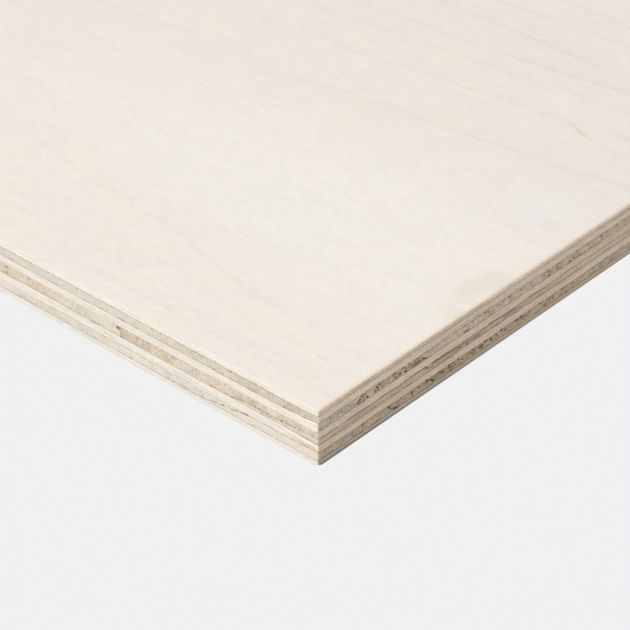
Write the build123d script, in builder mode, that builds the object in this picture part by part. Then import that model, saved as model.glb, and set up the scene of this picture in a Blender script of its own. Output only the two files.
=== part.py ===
from build123d import *
import os

# Plywood sheet, full size, lying flat, face up.
# Frame: origin at the middle of the underside, +X along the face grain (long side),
# +Y across it, +Z up. Millimetres.
#
# Seven crossed layers of rotary-cut veneer. Face, long bands and back have their grain
# along X, the crossbands and the core have it along Y. Crossbands and core are laid from
# veneer strips, so two of those layers show a joint near the +X end: the core has a butt
# joint with a small open gap and a lapped strip, and the lower crossband has a scarfed
# lap. Glue films are far under 0.1 mm and are not solids.

# ---- driving dimensions -------------------------------------------------------------
LENGTH = 2440.0        # along X, the grain of the face
WIDTH = 1220.0         # along Y
THICKNESS = 12.0

# depth of each glue line under the top face
D_FACE = 1.20          # face veneer / upper crossband
D_CROSS_U = 2.85       # upper crossband / upper long band
D_LONG_U = 4.65        # upper long band / core
D_CORE = 7.15          # core / lower long band
D_LONG_L = 9.00        # lower long band / lower crossband
D_CROSS_L = 10.72      # lower crossband / back veneer

ARRIS = 0.30           # radius of the sanded long and short arrises

# core joints, measured back from the +X end of the sheet
CORE_BUTT = 48.3       # butt joint between the main core veneer and the edge strip
GAP_W = 1.0            # open core gap: width and height of the tunnel
GAP_H = 0.85
LAP_START = 25.5       # where the lapped strip begins under the edge strip
LAP_RISE = 1.10        # thickness of the lapped strip at the +X end

# scarfed lap in the lower crossband, measured back from the +X end
SCARF_TOP = 16.0
SCARF_BOTTOM = 28.5

# ---- levels -------------------------------------------------------------------------
Z_TOP = THICKNESS
Z_FACE = THICKNESS - D_FACE
Z_CROSS_U = THICKNESS - D_CROSS_U
Z_LONG_U = THICKNESS - D_LONG_U
Z_CORE = THICKNESS - D_CORE
Z_LONG_L = THICKNESS - D_LONG_L
Z_CROSS_L = THICKNESS - D_CROSS_L

X_END = LENGTH / 2
X_START = -LENGTH / 2
Y_HALF = WIDTH / 2

# Sections of the jointed layers are drawn on a plane across the sheet (its local x is
# the sheet's X, its local y is the sheet's Z) and pushed half the width both ways.
SECTION = Plane.XZ

os.makedirs("parts", exist_ok=True)

# ---- face veneer: a whole sheet with sanded upper arrises -----------------------------
with BuildPart() as face_veneer:
    with BuildSketch(Plane.XY.offset(Z_FACE)):
        Rectangle(LENGTH, WIDTH)
    extrude(amount=D_FACE)
    fillet(face_veneer.faces().sort_by(Axis.Z)[-1].edges(), ARRIS)
face_veneer.part.label = "face_veneer"

# ---- upper crossband: a whole sheet, grain along Y ------------------------------------
with BuildPart() as crossband_upper:
    with BuildSketch(Plane.XY.offset(Z_CROSS_U)):
        Rectangle(LENGTH, WIDTH)
    extrude(amount=D_CROSS_U - D_FACE)
crossband_upper.part.label = "crossband_upper"

# ---- upper long band: a whole sheet, grain along X ------------------------------------
with BuildPart() as long_band_upper:
    with BuildSketch(Plane.XY.offset(Z_LONG_U)):
        Rectangle(LENGTH, WIDTH)
    extrude(amount=D_LONG_U - D_CROSS_U)
long_band_upper.part.label = "long_band_upper"

# ---- main core veneer: up to the butt joint, its upper end corner open (the core gap) --
with BuildPart() as core_veneer:
    with BuildSketch(SECTION):
        with BuildLine():
            Polyline(
                (X_START, Z_CORE),
                (X_END - CORE_BUTT, Z_CORE),
                (X_END - CORE_BUTT, Z_LONG_U - GAP_H),
                (X_END - CORE_BUTT - GAP_W, Z_LONG_U - GAP_H),
                (X_END - CORE_BUTT - GAP_W, Z_LONG_U),
                (X_START, Z_LONG_U),
                close=True,
            )
        make_face()
    extrude(amount=Y_HALF, both=True)
core_veneer.part.label = "core_veneer"

# ---- core edge strip: full depth at the butt joint, rising over the lapped strip -------
with BuildPart() as core_edge_strip:
    with BuildSketch(SECTION):
        with BuildLine():
            Polyline(
                (X_END - CORE_BUTT, Z_CORE),
                (X_END - LAP_START, Z_CORE),
                (X_END, Z_CORE + LAP_RISE),
                (X_END, Z_LONG_U),
                (X_END - CORE_BUTT, Z_LONG_U),
                close=True,
            )
        make_face()
    extrude(amount=Y_HALF, both=True)
core_edge_strip.part.label = "core_edge_strip"

# ---- core lap strip: the feathered strip pressed in under it ---------------------------
with BuildPart() as core_lap_strip:
    with BuildSketch(SECTION):
        with BuildLine():
            Polyline(
                (X_END - LAP_START, Z_CORE),
                (X_END, Z_CORE),
                (X_END, Z_CORE + LAP_RISE),
                close=True,
            )
        make_face()
    extrude(amount=Y_HALF, both=True)
core_lap_strip.part.label = "core_lap_strip"

# ---- lower long band: a whole sheet, grain along X ------------------------------------
with BuildPart() as long_band_lower:
    with BuildSketch(Plane.XY.offset(Z_LONG_L)):
        Rectangle(LENGTH, WIDTH)
    extrude(amount=D_LONG_L - D_CORE)
long_band_lower.part.label = "long_band_lower"

# ---- lower crossband, main veneer, up to the scarfed lap ------------------------------
with BuildPart() as crossband_lower:
    with BuildSketch(SECTION):
        with BuildLine():
            Polyline(
                (X_START, Z_CROSS_L),
                (X_END - SCARF_BOTTOM, Z_CROSS_L),
                (X_END - SCARF_TOP, Z_LONG_L),
                (X_START, Z_LONG_L),
                close=True,
            )
        make_face()
    extrude(amount=Y_HALF, both=True)
crossband_lower.part.label = "crossband_lower"

# ---- lower crossband, edge strip, past the scarfed lap --------------------------------
with BuildPart() as crossband_lower_strip:
    with BuildSketch(SECTION):
        with BuildLine():
            Polyline(
                (X_END - SCARF_BOTTOM, Z_CROSS_L),
                (X_END, Z_CROSS_L),
                (X_END, Z_LONG_L),
                (X_END - SCARF_TOP, Z_LONG_L),
                close=True,
            )
        make_face()
    extrude(amount=Y_HALF, both=True)
crossband_lower_strip.part.label = "crossband_lower_strip"

# ---- back veneer: a whole sheet with sanded lower arrises -----------------------------
with BuildPart() as back_veneer:
    with BuildSketch(Plane.XY):
        Rectangle(LENGTH, WIDTH)
    extrude(amount=Z_CROSS_L)
    fillet(back_veneer.faces().sort_by(Axis.Z)[0].edges(), ARRIS)
back_veneer.part.label = "back_veneer"

# ---- one file for each piece ----------------------------------------------------------
export_step(face_veneer.part, "parts/face_veneer.step")
export_step(crossband_upper.part, "parts/crossband_upper.step")
export_step(long_band_upper.part, "parts/long_band_upper.step")
export_step(core_veneer.part, "parts/core_veneer.step")
export_step(core_edge_strip.part, "parts/core_edge_strip.step")
export_step(core_lap_strip.part, "parts/core_lap_strip.step")
export_step(long_band_lower.part, "parts/long_band_lower.step")
export_step(crossband_lower.part, "parts/crossband_lower.step")
export_step(crossband_lower_strip.part, "parts/crossband_lower_strip.step")
export_step(back_veneer.part, "parts/back_veneer.step")
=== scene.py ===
import math

import bpy
import numpy as np
from mathutils import Matrix, Vector


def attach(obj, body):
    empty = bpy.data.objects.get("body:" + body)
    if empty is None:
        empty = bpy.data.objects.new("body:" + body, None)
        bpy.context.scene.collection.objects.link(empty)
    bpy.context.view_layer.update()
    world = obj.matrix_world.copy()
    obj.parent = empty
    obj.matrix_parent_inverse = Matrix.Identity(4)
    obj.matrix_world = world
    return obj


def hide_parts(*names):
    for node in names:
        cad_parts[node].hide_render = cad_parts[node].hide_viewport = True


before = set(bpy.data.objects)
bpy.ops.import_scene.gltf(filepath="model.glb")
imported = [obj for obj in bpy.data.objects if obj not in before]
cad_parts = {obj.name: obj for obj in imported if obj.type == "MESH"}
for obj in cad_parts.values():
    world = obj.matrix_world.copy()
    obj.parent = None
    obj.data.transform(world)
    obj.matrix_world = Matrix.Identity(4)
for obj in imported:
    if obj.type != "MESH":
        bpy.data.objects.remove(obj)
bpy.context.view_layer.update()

# =====================================================================================
# Sizes, in millimetres. The corner that the camera looks at is C0 = (+1220, -610).
# Sides, in the order that a loop round the sheet meets them:
#   0  short edge at +X, u runs from C0 towards +Y
#   1  long edge at +Y
#   2  short edge at -X
#   3  long edge at -Y, u runs from C0 towards -X
# =====================================================================================
HX, HY, THICK = 1220.0, 610.0, 12.0
ARRIS = 0.22
ARRIS_LOW = 0.12
FINE = 0.13  # spacing of the fine mesh beside C0
FINE_R, FINE_L = 97.0, 88.0


# ---- seeded noise ---------------------------------------------------------------------
def _hash(ix, iy, seed):
    h = (
        ix.astype(np.int64) * 374761393
        + iy.astype(np.int64) * 668265263
        + int(seed) * 1274126177
    ) & 0xFFFFFFFF
    h = ((h ^ (h >> 13)) * 1274126177) & 0xFFFFFFFF
    h = (h ^ (h >> 16)) & 0xFFFFFFFF
    return h.astype(np.float64) / 4294967295.0


def vnoise(x, y, seed=0):
    """Value noise, 0 to 1, with a period of 1 in each direction."""
    x, y = np.broadcast_arrays(np.asarray(x, float), np.asarray(y, float))
    ix, iy = np.floor(x), np.floor(y)
    fx, fy = x - ix, y - iy
    fx, fy = fx * fx * (3 - 2 * fx), fy * fy * (3 - 2 * fy)
    a, b = _hash(ix, iy, seed), _hash(ix + 1, iy, seed)
    c, d = _hash(ix, iy + 1, seed), _hash(ix + 1, iy + 1, seed)
    return (a * (1 - fx) + b * fx) * (1 - fy) + (c * (1 - fx) + d * fx) * fy


def fbm(x, y, seed=0, octaves=4, gain=0.5):
    x, y = np.asarray(x, float), np.asarray(y, float)
    s, a, t = 0.0, 1.0, 0.0
    for k in range(octaves):
        s = s + a * vnoise(x * 2**k + 13.7 * k, y * 2**k - 7.3 * k, seed + 31 * k)
        t += a
        a *= gain
    return s / t


def smooth(x, a, b):
    t = np.clip((np.asarray(x, float) - a) / (b - a), 0, 1)
    return t * t * (3 - 2 * t)


def curve(points, u):
    p = np.array(points, float)
    return np.interp(u, p[:, 0], p[:, 1])


# ---- glue lines: depth under the face, along each side ----------------------------------
NOMINAL = [0.0, 1.20, 2.85, 4.65, 7.15, 9.00, 10.72, 12.0]
LINE_R = {
    1: [(0, 1.12), (1.5, 0.98), (60, 1.00), (90, 1.02), (125, 1.20)],
    2: [(0, 2.56), (4, 2.60), (18, 2.64), (45, 2.58), (90, 2.66), (125, 2.85)],
    3: [(0, 4.42), (3, 4.36), (12, 4.28), (40, 4.34), (60, 4.28), (90, 4.34), (125, 4.65)],
    4: [(0, 7.30), (3, 7.42), (28, 7.48), (34, 7.52), (40, 7.42), (60, 7.40), (80, 7.48), (90, 7.46), (125, 7.15)],
    5: [(0, 8.92), (3, 9.02), (12, 9.09), (60, 9.10), (90, 9.16), (125, 9.00)],
    6: [(0, 10.72), (10, 10.75), (30, 10.81), (60, 10.78), (90, 10.80), (125, 10.72)],
}
LINE_L = {
    1: [(0, 1.16), (1.5, 1.36), (8, 1.45), (30, 1.44), (55, 1.48), (80, 1.50), (125, 1.20)],
    2: [(0, 2.58), (3, 2.98), (7, 3.17), (10, 3.26), (14, 3.34), (20, 3.30), (50, 3.34), (80, 3.38), (125, 2.85)],
    3: [(0, 4.42), (0.6, 4.72), (3, 4.88), (12, 4.99), (22, 5.02), (45, 5.00), (80, 5.00), (125, 4.65)],
    4: [(0, 7.30), (6, 7.30), (13, 7.30), (25, 7.26), (45, 7.22), (60, 7.18), (80, 7.22), (125, 7.15)],
    5: [(0, 8.92), (3, 9.06), (6, 9.13), (14, 9.17), (25, 9.13), (32, 9.05), (45, 9.12), (80, 9.04), (125, 9.00)],
    6: [(0, 10.72), (3, 10.86), (30, 10.93), (60, 10.89), (80, 10.81), (125, 10.72)],
}
# the lapped core strip's upper surface and the scarfed lap of the lower crossband
LAP_L = [(0, 6.02), (5, 6.24), (8, 6.35), (12, 6.48), (15, 6.54), (18, 6.66), (20, 6.90), (22, 7.04), (25.5, 7.22), (26, 7.26)]
LAP_R = [(0, 6.02), (90, 6.04), (125, 6.05)]
SCARF_L = [(15, 9.15), (16, 9.18), (18, 9.36), (19.5, 9.60), (20.6, 9.82), (22.2, 9.85), (23.4, 10.14), (26, 10.48), (28.5, 10.91), (30, 10.94)]
BUTT, GAP_W, GAP_H = 48.3, 1.0, 0.85
LAP, RISE = 25.5, 1.10
SCARF_T, SCARF_B = 16.0, 28.5


def wobble(i, side, u):
    near = 1 - smooth(u, 0, 3) if side in (0, 3) else 0 * np.asarray(u, float)
    w = 0.09 * (fbm(np.asarray(u) / 17.0, 0.0 * np.asarray(u) + i * 5.1, 40 + i + 9 * side, 3) - 0.5)
    w = w + 0.05 * (vnoise(np.asarray(u) / 2.3, 0.0 * np.asarray(u) + i, 70 + i + 9 * side) - 0.5)
    return w * (1 - near)


def line_depth(i, side, u):
    """Depth of glue line i on a side. u is measured from C0 on sides 0 and 3."""
    u = np.asarray(u, float)
    if i in (0, 7):
        return np.full_like(u, NOMINAL[i])
    if side == 0:
        base = curve(LINE_R[i], u)
    elif side == 3:
        base = curve(LINE_L[i], u)
    else:
        base = np.full_like(u, NOMINAL[i])
    return base + wobble(i, side, u)


def x_depth_nominal(kind, s):
    """Depth of the sloping joints where they are hidden, s back from the +X end."""
    s = np.asarray(s, float)
    if kind == "lap":
        return np.interp(s, [0, LAP], [NOMINAL[4] - RISE, NOMINAL[4]])
    return np.interp(s, [SCARF_T, SCARF_B], [NOMINAL[5], NOMINAL[6]])


# ---- the pieces: x range, upper and lower limit -----------------------------------------
PLIES = {
    "face_veneer": dict(x=(-HX, HX), top=0, bot=1, rows=8),
    "crossband_upper": dict(x=(-HX, HX), top=1, bot=2, rows=13),
    "long_band_upper": dict(x=(-HX, HX), top=2, bot=3, rows=14),
    "core_veneer": dict(x=(-HX, HX - BUTT), top=3, bot=4, rows=18),
    "core_edge_strip": dict(x=(HX - BUTT, HX), top=3, bot="lap", rows=16),
    "core_lap_strip": dict(x=(HX - LAP, HX), top="lap", bot=4, rows=10),
    "long_band_lower": dict(x=(-HX, HX), top=4, bot=5, rows=14),
    "crossband_lower": dict(x=(-HX, HX - SCARF_T), top=5, bot="scarf", rows=13),
    "crossband_lower_strip": dict(x=(HX - SCARF_B, HX), top="scarf_t", bot=6, rows=13),
    "back_veneer": dict(x=(-HX, HX), top=6, bot=7, rows=9),
}


def limit(which, side, u, s):
    """Depth of a piece's upper or lower limit at the sides; s is the distance back from +X."""
    u, s = np.asarray(u, float), np.asarray(s, float)
    if which == "lap":
        # lower limit of the edge strip, and upper limit of the lapped strip
        if side == 3:
            d = np.where(u < 26, curve(LAP_L, u), line_depth(4, 3, u))
            return np.minimum(d + 0.4 * wobble(9, 3, u), line_depth(4, 3, u))
        if side == 0:
            return curve(LAP_R, u) + 0.5 * wobble(9, 0, u)
        return np.where(s <= LAP, x_depth_nominal("lap", s), NOMINAL[4])
    if which == "scarf":
        # lower limit of the main crossband: down to line 6, rising to line 5 at its end
        if side == 3:
            d = np.where(u < 28.5, curve(SCARF_L, u), line_depth(6, 3, u))
            return np.minimum(d, line_depth(6, 3, u))
        return np.where(s < SCARF_B, x_depth_nominal("scarf", s), NOMINAL[6])
    if which == "scarf_t":
        # upper limit of the strip: line 5, falling to line 6 at its feathered end
        if side == 3:
            d = np.where(u > 16, curve(SCARF_L, u), line_depth(5, 3, u))
            return np.maximum(d, line_depth(5, 3, u))
        if side == 0:
            return line_depth(5, 0, u)
        return np.where(s > SCARF_T, x_depth_nominal("scarf", s), NOMINAL[5])
    return line_depth(which, side, u)


def limit_hidden(which, s):
    s = np.asarray(s, float)
    if which == "lap":
        return np.where(s <= LAP, x_depth_nominal("lap", s), NOMINAL[4])
    if which == "scarf":
        return np.where(s < SCARF_B, x_depth_nominal("scarf", s), NOMINAL[6])
    if which == "scarf_t":
        return np.where(s > SCARF_T, x_depth_nominal("scarf", s), NOMINAL[5])
    return np.full_like(s, NOMINAL[which])


# =====================================================================================
# Relief of the sawn edges: depth in mm, and masks that the materials read
# =====================================================================================
# strokes on the short edge: u0, depth0, u1, depth1, half width, mm deep, darkness
CUTS_R = [
    # torn long band, first patch: dark arch over brown fibres
    (9.7, 3.78, 10.9, 3.18, 0.15, 0.16, 0.85),
    (10.9, 3.15, 11.4, 2.86, 0.15, 0.18, 0.90),
    (11.4, 2.82, 12.1, 2.84, 0.13, 0.16, 0.80),
    (12.1, 2.95, 12.5, 3.35, 0.11, 0.12, 0.60),
    (10.6, 3.75, 11.3, 3.45, 0.17, 0.16, 0.75),
    (11.4, 3.55, 12.2, 3.62, 0.12, 0.12, 0.60),
    (10.4, 4.0, 10.9, 3.9, 0.14, 0.12, 0.60),
    (11.6, 3.9, 12.0, 4.2, 0.14, 0.12, 0.50),
    (12.7, 3.9, 13.0, 4.2, 0.14, 0.22, 0.90),
    (10.2, 4.15, 11.6, 4.22, 0.09, 0.12, 0.55),
    # second
    (14.3, 3.3, 15.0, 3.7, 0.13, 0.14, 0.60),
    (15.4, 3.9, 15.9, 4.15, 0.13, 0.14, 0.65),
    (14.8, 4.0, 15.1, 4.15, 0.12, 0.14, 0.60),
    (15.5, 2.72, 16.0, 2.88, 0.15, 0.22, 0.90),
    (15.2, 3.15, 15.7, 3.65, 0.17, 0.24, 0.95),
    (15.9, 3.25, 16.3, 3.05, 0.11, 0.14, 0.60),
    (16.3, 3.5, 16.8, 3.7, 0.14, 0.10, 0.45),
    (16.7, 2.72, 17.3, 2.80, 0.11, 0.12, 0.55),
    (17.0, 3.2, 17.2, 3.5, 0.09, 0.10, 0.40),
    (18.2, 2.75, 18.5, 3.25, 0.12, 0.16, 0.70),
    (18.6, 4.1, 19.4, 4.2, 0.08, 0.08, 0.45),
    # third
    (19.4, 2.72, 19.6, 3.3, 0.13, 0.20, 0.85),
    (19.8, 2.85, 20.4, 2.85, 0.16, 0.22, 0.90),
    (19.8, 3.3, 20.3, 3.75, 0.12, 0.18, 0.75),
    (20.2, 3.95, 20.8, 4.2, 0.15, 0.24, 0.95),
    (20.7, 3.1, 21.1, 3.4, 0.12, 0.14, 0.60),
    (21.6, 3.65, 21.85, 3.8, 0.20, 0.30, 1.00),
    (21.4, 2.75, 22.0, 3.05, 0.11, 0.14, 0.60),
    (22.2, 2.85, 22.9, 3.1, 0.14, 0.18, 0.70),
    (22.3, 3.5, 22.7, 3.9, 0.13, 0.18, 0.70),
    (22.8, 4.0, 23.5, 4.2, 0.15, 0.24, 0.90),
    (23.1, 3.3, 23.5, 3.6, 0.12, 0.16, 0.65),
    # fourth, under a slanted edge
    (23.8, 2.85, 24.3, 2.92, 0.15, 0.22, 0.90),
    (24.1, 3.25, 24.6, 3.5, 0.12, 0.18, 0.70),
    (24.6, 3.45, 25.5, 3.75, 0.16, 0.26, 1.00),
    (25.1, 3.1, 25.8, 3.3, 0.11, 0.18, 0.70),
    (25.7, 3.75, 26.2, 3.95, 0.18, 0.28, 1.00),
    (25.6, 4.15, 26.3, 4.2, 0.10, 0.16, 0.70),
    (26.1, 2.85, 26.9, 3.2, 0.12, 0.18, 0.75),
    (26.4, 3.4, 26.8, 3.75, 0.12, 0.20, 0.80),
    (26.8, 3.45, 27.2, 3.8, 0.15, 0.26, 1.00),
    (27.2, 3.3, 27.8, 3.7, 0.10, 0.16, 0.70),
    (27.8, 3.85, 28.5, 4.05, 0.20, 0.32, 1.00),
    (28.5, 4.05, 29.2, 4.22, 0.11, 0.20, 0.80),
    (29.2, 4.25, 30.6, 4.35, 0.06, 0.10, 0.60),
    # specks along the rest of the band
    (31.2, 2.9, 31.8, 3.3, 0.09, 0.08, 0.30),
    (33.9, 3.0, 34.3, 3.5, 0.09, 0.08, 0.30),
    (36.2, 2.75, 36.9, 2.80, 0.09, 0.10, 0.40),
    (37.4, 3.7, 37.7, 3.95, 0.12, 0.14, 0.55),
    (38.9, 4.05, 40.9, 4.12, 0.12, 0.08, 0.40),
    (39.2, 2.65, 39.7, 2.85, 0.12, 0.14, 0.60),
    (41.6, 3.9, 42.0, 4.1, 0.11, 0.10, 0.40),
    (43.2, 2.62, 43.8, 2.70, 0.12, 0.14, 0.60),
    (44.0, 4.05, 45.2, 4.15, 0.08, 0.08, 0.35),
    (44.4, 3.15, 45.2, 3.35, 0.09, 0.10, 0.45),
    (44.9, 2.66, 45.4, 2.78, 0.14, 0.20, 0.90),
    (45.4, 2.80, 46.7, 3.10, 0.09, 0.16, 0.75),
    (46.2, 3.6, 46.9, 3.8, 0.09, 0.10, 0.45),
    (46.9, 3.95, 48.0, 4.1, 0.09, 0.08, 0.40),
    (50.0, 2.6, 50.5, 2.7, 0.11, 0.14, 0.55),
    (50.3, 2.95, 51.0, 3.75, 0.06, 0.10, 0.50),
    (51.9, 2.65, 52.5, 2.80, 0.14, 0.20, 0.90),
    (53.3, 3.3, 53.7, 3.8, 0.08, 0.08, 0.35),
    (55.1, 2.80, 55.8, 2.92, 0.14, 0.18, 0.80),
    (55.9, 3.00, 57.0, 3.16, 0.10, 0.14, 0.65),
    (57.2, 3.6, 57.7, 4.0, 0.09, 0.10, 0.45),
    (58.5, 2.9, 59.0, 3.9, 0.08, 0.10, 0.45),
    (60.3, 3.2, 60.8, 3.9, 0.08, 0.08, 0.35),
    (62.4, 2.9, 62.9, 3.7, 0.10, 0.10, 0.45),
    (63.5, 2.60, 64.2, 2.80, 0.13, 0.16, 0.75),
    (63.7, 4.0, 64.5, 4.12, 0.12, 0.16, 0.70),
    (64.2, 3.1, 64.8, 3.3, 0.09, 0.10, 0.45),
    (65.1, 2.80, 65.6, 3.00, 0.13, 0.16, 0.75),
    (65.9, 3.2, 66.3, 3.5, 0.09, 0.10, 0.45),
    (66.4, 3.75, 67.1, 3.95, 0.13, 0.16, 0.65),
    (66.7, 2.75, 67.4, 2.90, 0.14, 0.16, 0.65),
    (67.7, 3.35, 68.2, 3.55, 0.12, 0.16, 0.70),
    (69.3, 4.1, 70.1, 4.15, 0.10, 0.10, 0.50),
    (70.35, 3.95, 70.8, 4.12, 0.20, 0.30, 1.00),
    (71.5, 3.75, 72.0, 4.05, 0.20, 0.30, 1.00),
    (72.2, 2.75, 72.8, 2.95, 0.13, 0.18, 0.75),
    (73.0, 3.7, 74.0, 4.1, 0.10, 0.12, 0.50),
    (75.0, 2.68, 76.0, 2.75, 0.11, 0.12, 0.55),
    (74.7, 3.8, 75.1, 4.1, 0.10, 0.10, 0.40),
    (76.6, 3.6, 77.0, 4.1, 0.12, 0.10, 0.40),
    (79.2, 2.65, 79.8, 2.75, 0.11, 0.12, 0.50),
    (80.1, 3.05, 80.6, 3.30, 0.18, 0.20, 0.80),
    (81.3, 2.75, 82.0, 2.85, 0.10, 0.10, 0.40),
    (84.2, 2.70, 85.0, 2.80, 0.10, 0.10, 0.40),
    (87.0, 2.75, 88.0, 2.90, 0.11, 0.10, 0.40),
    # dark thread along the lap line
    (0.2, 6.02, 4.7, 6.05, 0.08, 0.07, 0.55),
    (7.2, 6.00, 13.1, 6.06, 0.10, 0.12, 0.85),
    (16.0, 5.98, 18.4, 6.02, 0.09, 0.10, 0.75),
    (18.2, 6.03, 20.0, 6.20, 0.09, 0.10, 0.75),
    (22.2, 6.02, 24.4, 6.00, 0.06, 0.06, 0.45),
    (24.0, 5.96, 27.3, 5.98, 0.12, 0.14, 0.95),
    (19.5, 6.24, 26.4, 6.32, 0.18, 0.04, 0.22),
    # the hollow streak in the lapped strip
    (27.6, 6.12, 28.4, 6.16, 0.14, 0.18, 0.75),
    (28.2, 6.05, 28.8, 6.26, 0.19, 0.32, 0.95),
    (29.0, 6.36, 29.2, 6.45, 0.12, 0.14, 0.50),
    (28.8, 6.70, 29.6, 6.80, 0.13, 0.20, 0.80),
    (29.6, 6.80, 30.6, 6.84, 0.13, 0.16, 0.75),
    (30.3, 6.22, 33.2, 6.28, 0.29, 0.20, 0.62),
    (30.9, 6.04, 31.5, 6.06, 0.13, 0.20, 0.90),
    (33.0, 6.10, 33.5, 6.16, 0.22, 0.32, 1.00),
    (34.3, 6.10, 34.9, 6.14, 0.13, 0.20, 0.90),
    (36.0, 6.42, 36.6, 6.50, 0.14, 0.20, 0.80),
    (33.2, 6.32, 35.6, 6.42, 0.36, 0.16, 0.52),
    (35.6, 6.42, 37.8, 6.58, 0.40, 0.13, 0.42),
    (37.8, 6.70, 38.5, 6.88, 0.19, 0.22, 0.85),
    (38.4, 6.50, 40.8, 6.66, 0.40, 0.10, 0.37),
    (39.9, 7.02, 40.4, 7.18, 0.16, 0.22, 0.90),
    (40.8, 6.68, 43.6, 6.90, 0.40, 0.08, 0.34),
    (41.2, 5.86, 43.0, 5.90, 0.06, 0.08, 0.50),
    (42.0, 6.98, 44.4, 7.14, 0.14, 0.10, 0.36),
    (44.2, 7.10, 45.7, 7.24, 0.09, 0.10, 0.60),
    (43.6, 6.02, 45.2, 6.00, 0.06, 0.08, 0.50),
    (46.2, 6.00, 49.5, 6.04, 0.09, 0.14, 0.90),
    (49.4, 6.14, 51.2, 6.20, 0.08, 0.12, 0.75),
    (46.5, 7.18, 49.4, 7.28, 0.08, 0.12, 0.80),
    (49.4, 7.26, 51.2, 7.26, 0.06, 0.10, 0.65),
    (50.4, 6.34, 53.9, 6.48, 0.34, 0.08, 0.38),
    (53.2, 6.40, 54.4, 6.65, 0.22, 0.10, 0.45),
    (52.8, 7.34, 54.8, 7.44, 0.07, 0.10, 0.75),
    (54.7, 6.70, 56.2, 7.10, 0.16, 0.08, 0.40),
    (58.2, 5.98, 61.4, 5.98, 0.08, 0.12, 0.75),
    (60.3, 5.93, 61.0, 5.97, 0.10, 0.16, 0.80),
    (61.4, 6.10, 63.8, 6.65, 0.09, 0.10, 0.50),
    (60.0, 7.22, 62.4, 7.26, 0.09, 0.08, 0.55),
    (66.0, 6.00, 76.0, 5.98, 0.08, 0.06, 0.36),
    (68.2, 5.98, 70.8, 5.98, 0.09, 0.10, 0.40),
    (66.5, 7.38, 75.8, 7.40, 0.08, 0.08, 0.50),
    (79.0, 5.70, 80.4, 5.75, 0.10, 0.06, 0.35),
    # lower glue line of the lapped strip
    (3.0, 7.30, 5.6, 7.34, 0.07, 0.08, 0.55),
    (8.6, 7.44, 10.4, 7.46, 0.07, 0.08, 0.50),
    (13.4, 7.38, 15.2, 7.38, 0.07, 0.08, 0.55),
    (18.8, 7.46, 21.0, 7.46, 0.06, 0.08, 0.50),
    (22.2, 7.42, 25.1, 7.42, 0.08, 0.10, 0.70),
    (23.4, 7.44, 24.2, 7.46, 0.09, 0.12, 0.70),
    (28.0, 7.42, 33.0, 7.42, 0.06, 0.06, 0.40),
    (33.0, 7.30, 36.4, 7.36, 0.10, 0.06, 0.35),
    # lower crossband: checks and holes
    (1.2, 10.40, 4.4, 10.62, 0.08, 0.08, 0.40),
    (6.3, 9.6, 6.6, 10.3, 0.07, 0.06, 0.30),
    (8.6, 9.3, 8.9, 9.9, 0.07, 0.06, 0.30),
    (9.9, 10.70, 11.2, 10.66, 0.07, 0.10, 0.60),
    (11.2, 9.08, 11.8, 9.22, 0.12, 0.16, 0.65),
    (11.3, 9.5, 11.7, 10.0, 0.09, 0.12, 0.50),
    (12.0, 9.9, 12.7, 10.4, 0.10, 0.12, 0.45),
    (14.1, 9.1, 14.3, 9.6, 0.08, 0.08, 0.40),
    (16.0, 9.2, 16.2, 9.9, 0.07, 0.06, 0.30),
    (18.2, 9.12, 18.8, 9.32, 0.15, 0.30, 1.00),
    (18.6, 9.4, 18.9, 9.9, 0.16, 0.34, 1.00),
    (18.9, 9.95, 19.9, 10.25, 0.09, 0.20, 0.85),
    (19.9, 10.30, 20.5, 10.58, 0.18, 0.36, 1.00),
    (20.5, 10.55, 21.4, 10.35, 0.16, 0.26, 0.95),
    (20.6, 9.10, 21.2, 9.20, 0.12, 0.16, 0.65),
    (22.0, 10.3, 22.6, 10.5, 0.08, 0.10, 0.40),
    (24.6, 9.35, 25.1, 9.42, 0.14, 0.24, 0.85),
    (24.75, 9.45, 24.95, 10.05, 0.18, 0.34, 1.00),
    (25.0, 10.1, 25.2, 10.6, 0.10, 0.14, 0.60),
    (26.4, 9.18, 26.8, 9.36, 0.15, 0.22, 0.70),
    (28.7, 9.18, 29.4, 9.34, 0.20, 0.32, 1.00),
    (29.9, 9.5, 30.4, 9.8, 0.17, 0.32, 1.00),
    (30.3, 9.8, 31.0, 10.2, 0.22, 0.40, 1.00),
    (31.2, 10.4, 31.7, 10.5, 0.08, 0.08, 0.25),
    (32.0, 9.15, 32.7, 9.22, 0.13, 0.20, 0.75),
    (33.1, 9.80, 33.2, 9.3, 0.20, 0.38, 1.00),
    (33.1, 9.22, 33.5, 9.30, 0.14, 0.26, 0.85),
    (33.45, 9.5, 33.6, 9.95, 0.12, 0.26, 0.85),
    (34.9, 9.08, 35.4, 9.25, 0.16, 0.26, 1.00),
    (35.1, 9.5, 35.5, 9.9, 0.14, 0.26, 0.85),
    (35.4, 10.5, 36.0, 10.62, 0.12, 0.14, 0.65),
    (35.9, 9.8, 36.4, 10.0, 0.15, 0.24, 0.90),
    (36.4, 9.2, 36.8, 9.55, 0.15, 0.26, 0.85),
    (36.9, 9.8, 37.3, 10.1, 0.10, 0.14, 0.60),
    (37.8, 9.2, 38.1, 9.45, 0.18, 0.32, 0.95),
    (38.3, 10.45, 38.8, 10.6, 0.10, 0.12, 0.50),
    (38.7, 9.45, 39.2, 10.0, 0.12, 0.22, 0.85),
    (40.2, 9.6, 40.5, 10.2, 0.07, 0.08, 0.35),
    (41.3, 9.7, 41.8, 9.95, 0.13, 0.20, 0.75),
    (41.85, 9.15, 42.1, 9.45, 0.15, 0.24, 0.75),
    (42.3, 9.7, 42.9, 10.6, 0.06, 0.10, 0.40),
    (43.8, 9.85, 44.6, 10.05, 0.17, 0.28, 1.00),
    (44.3, 9.4, 44.9, 9.85, 0.16, 0.32, 0.95),
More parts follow.
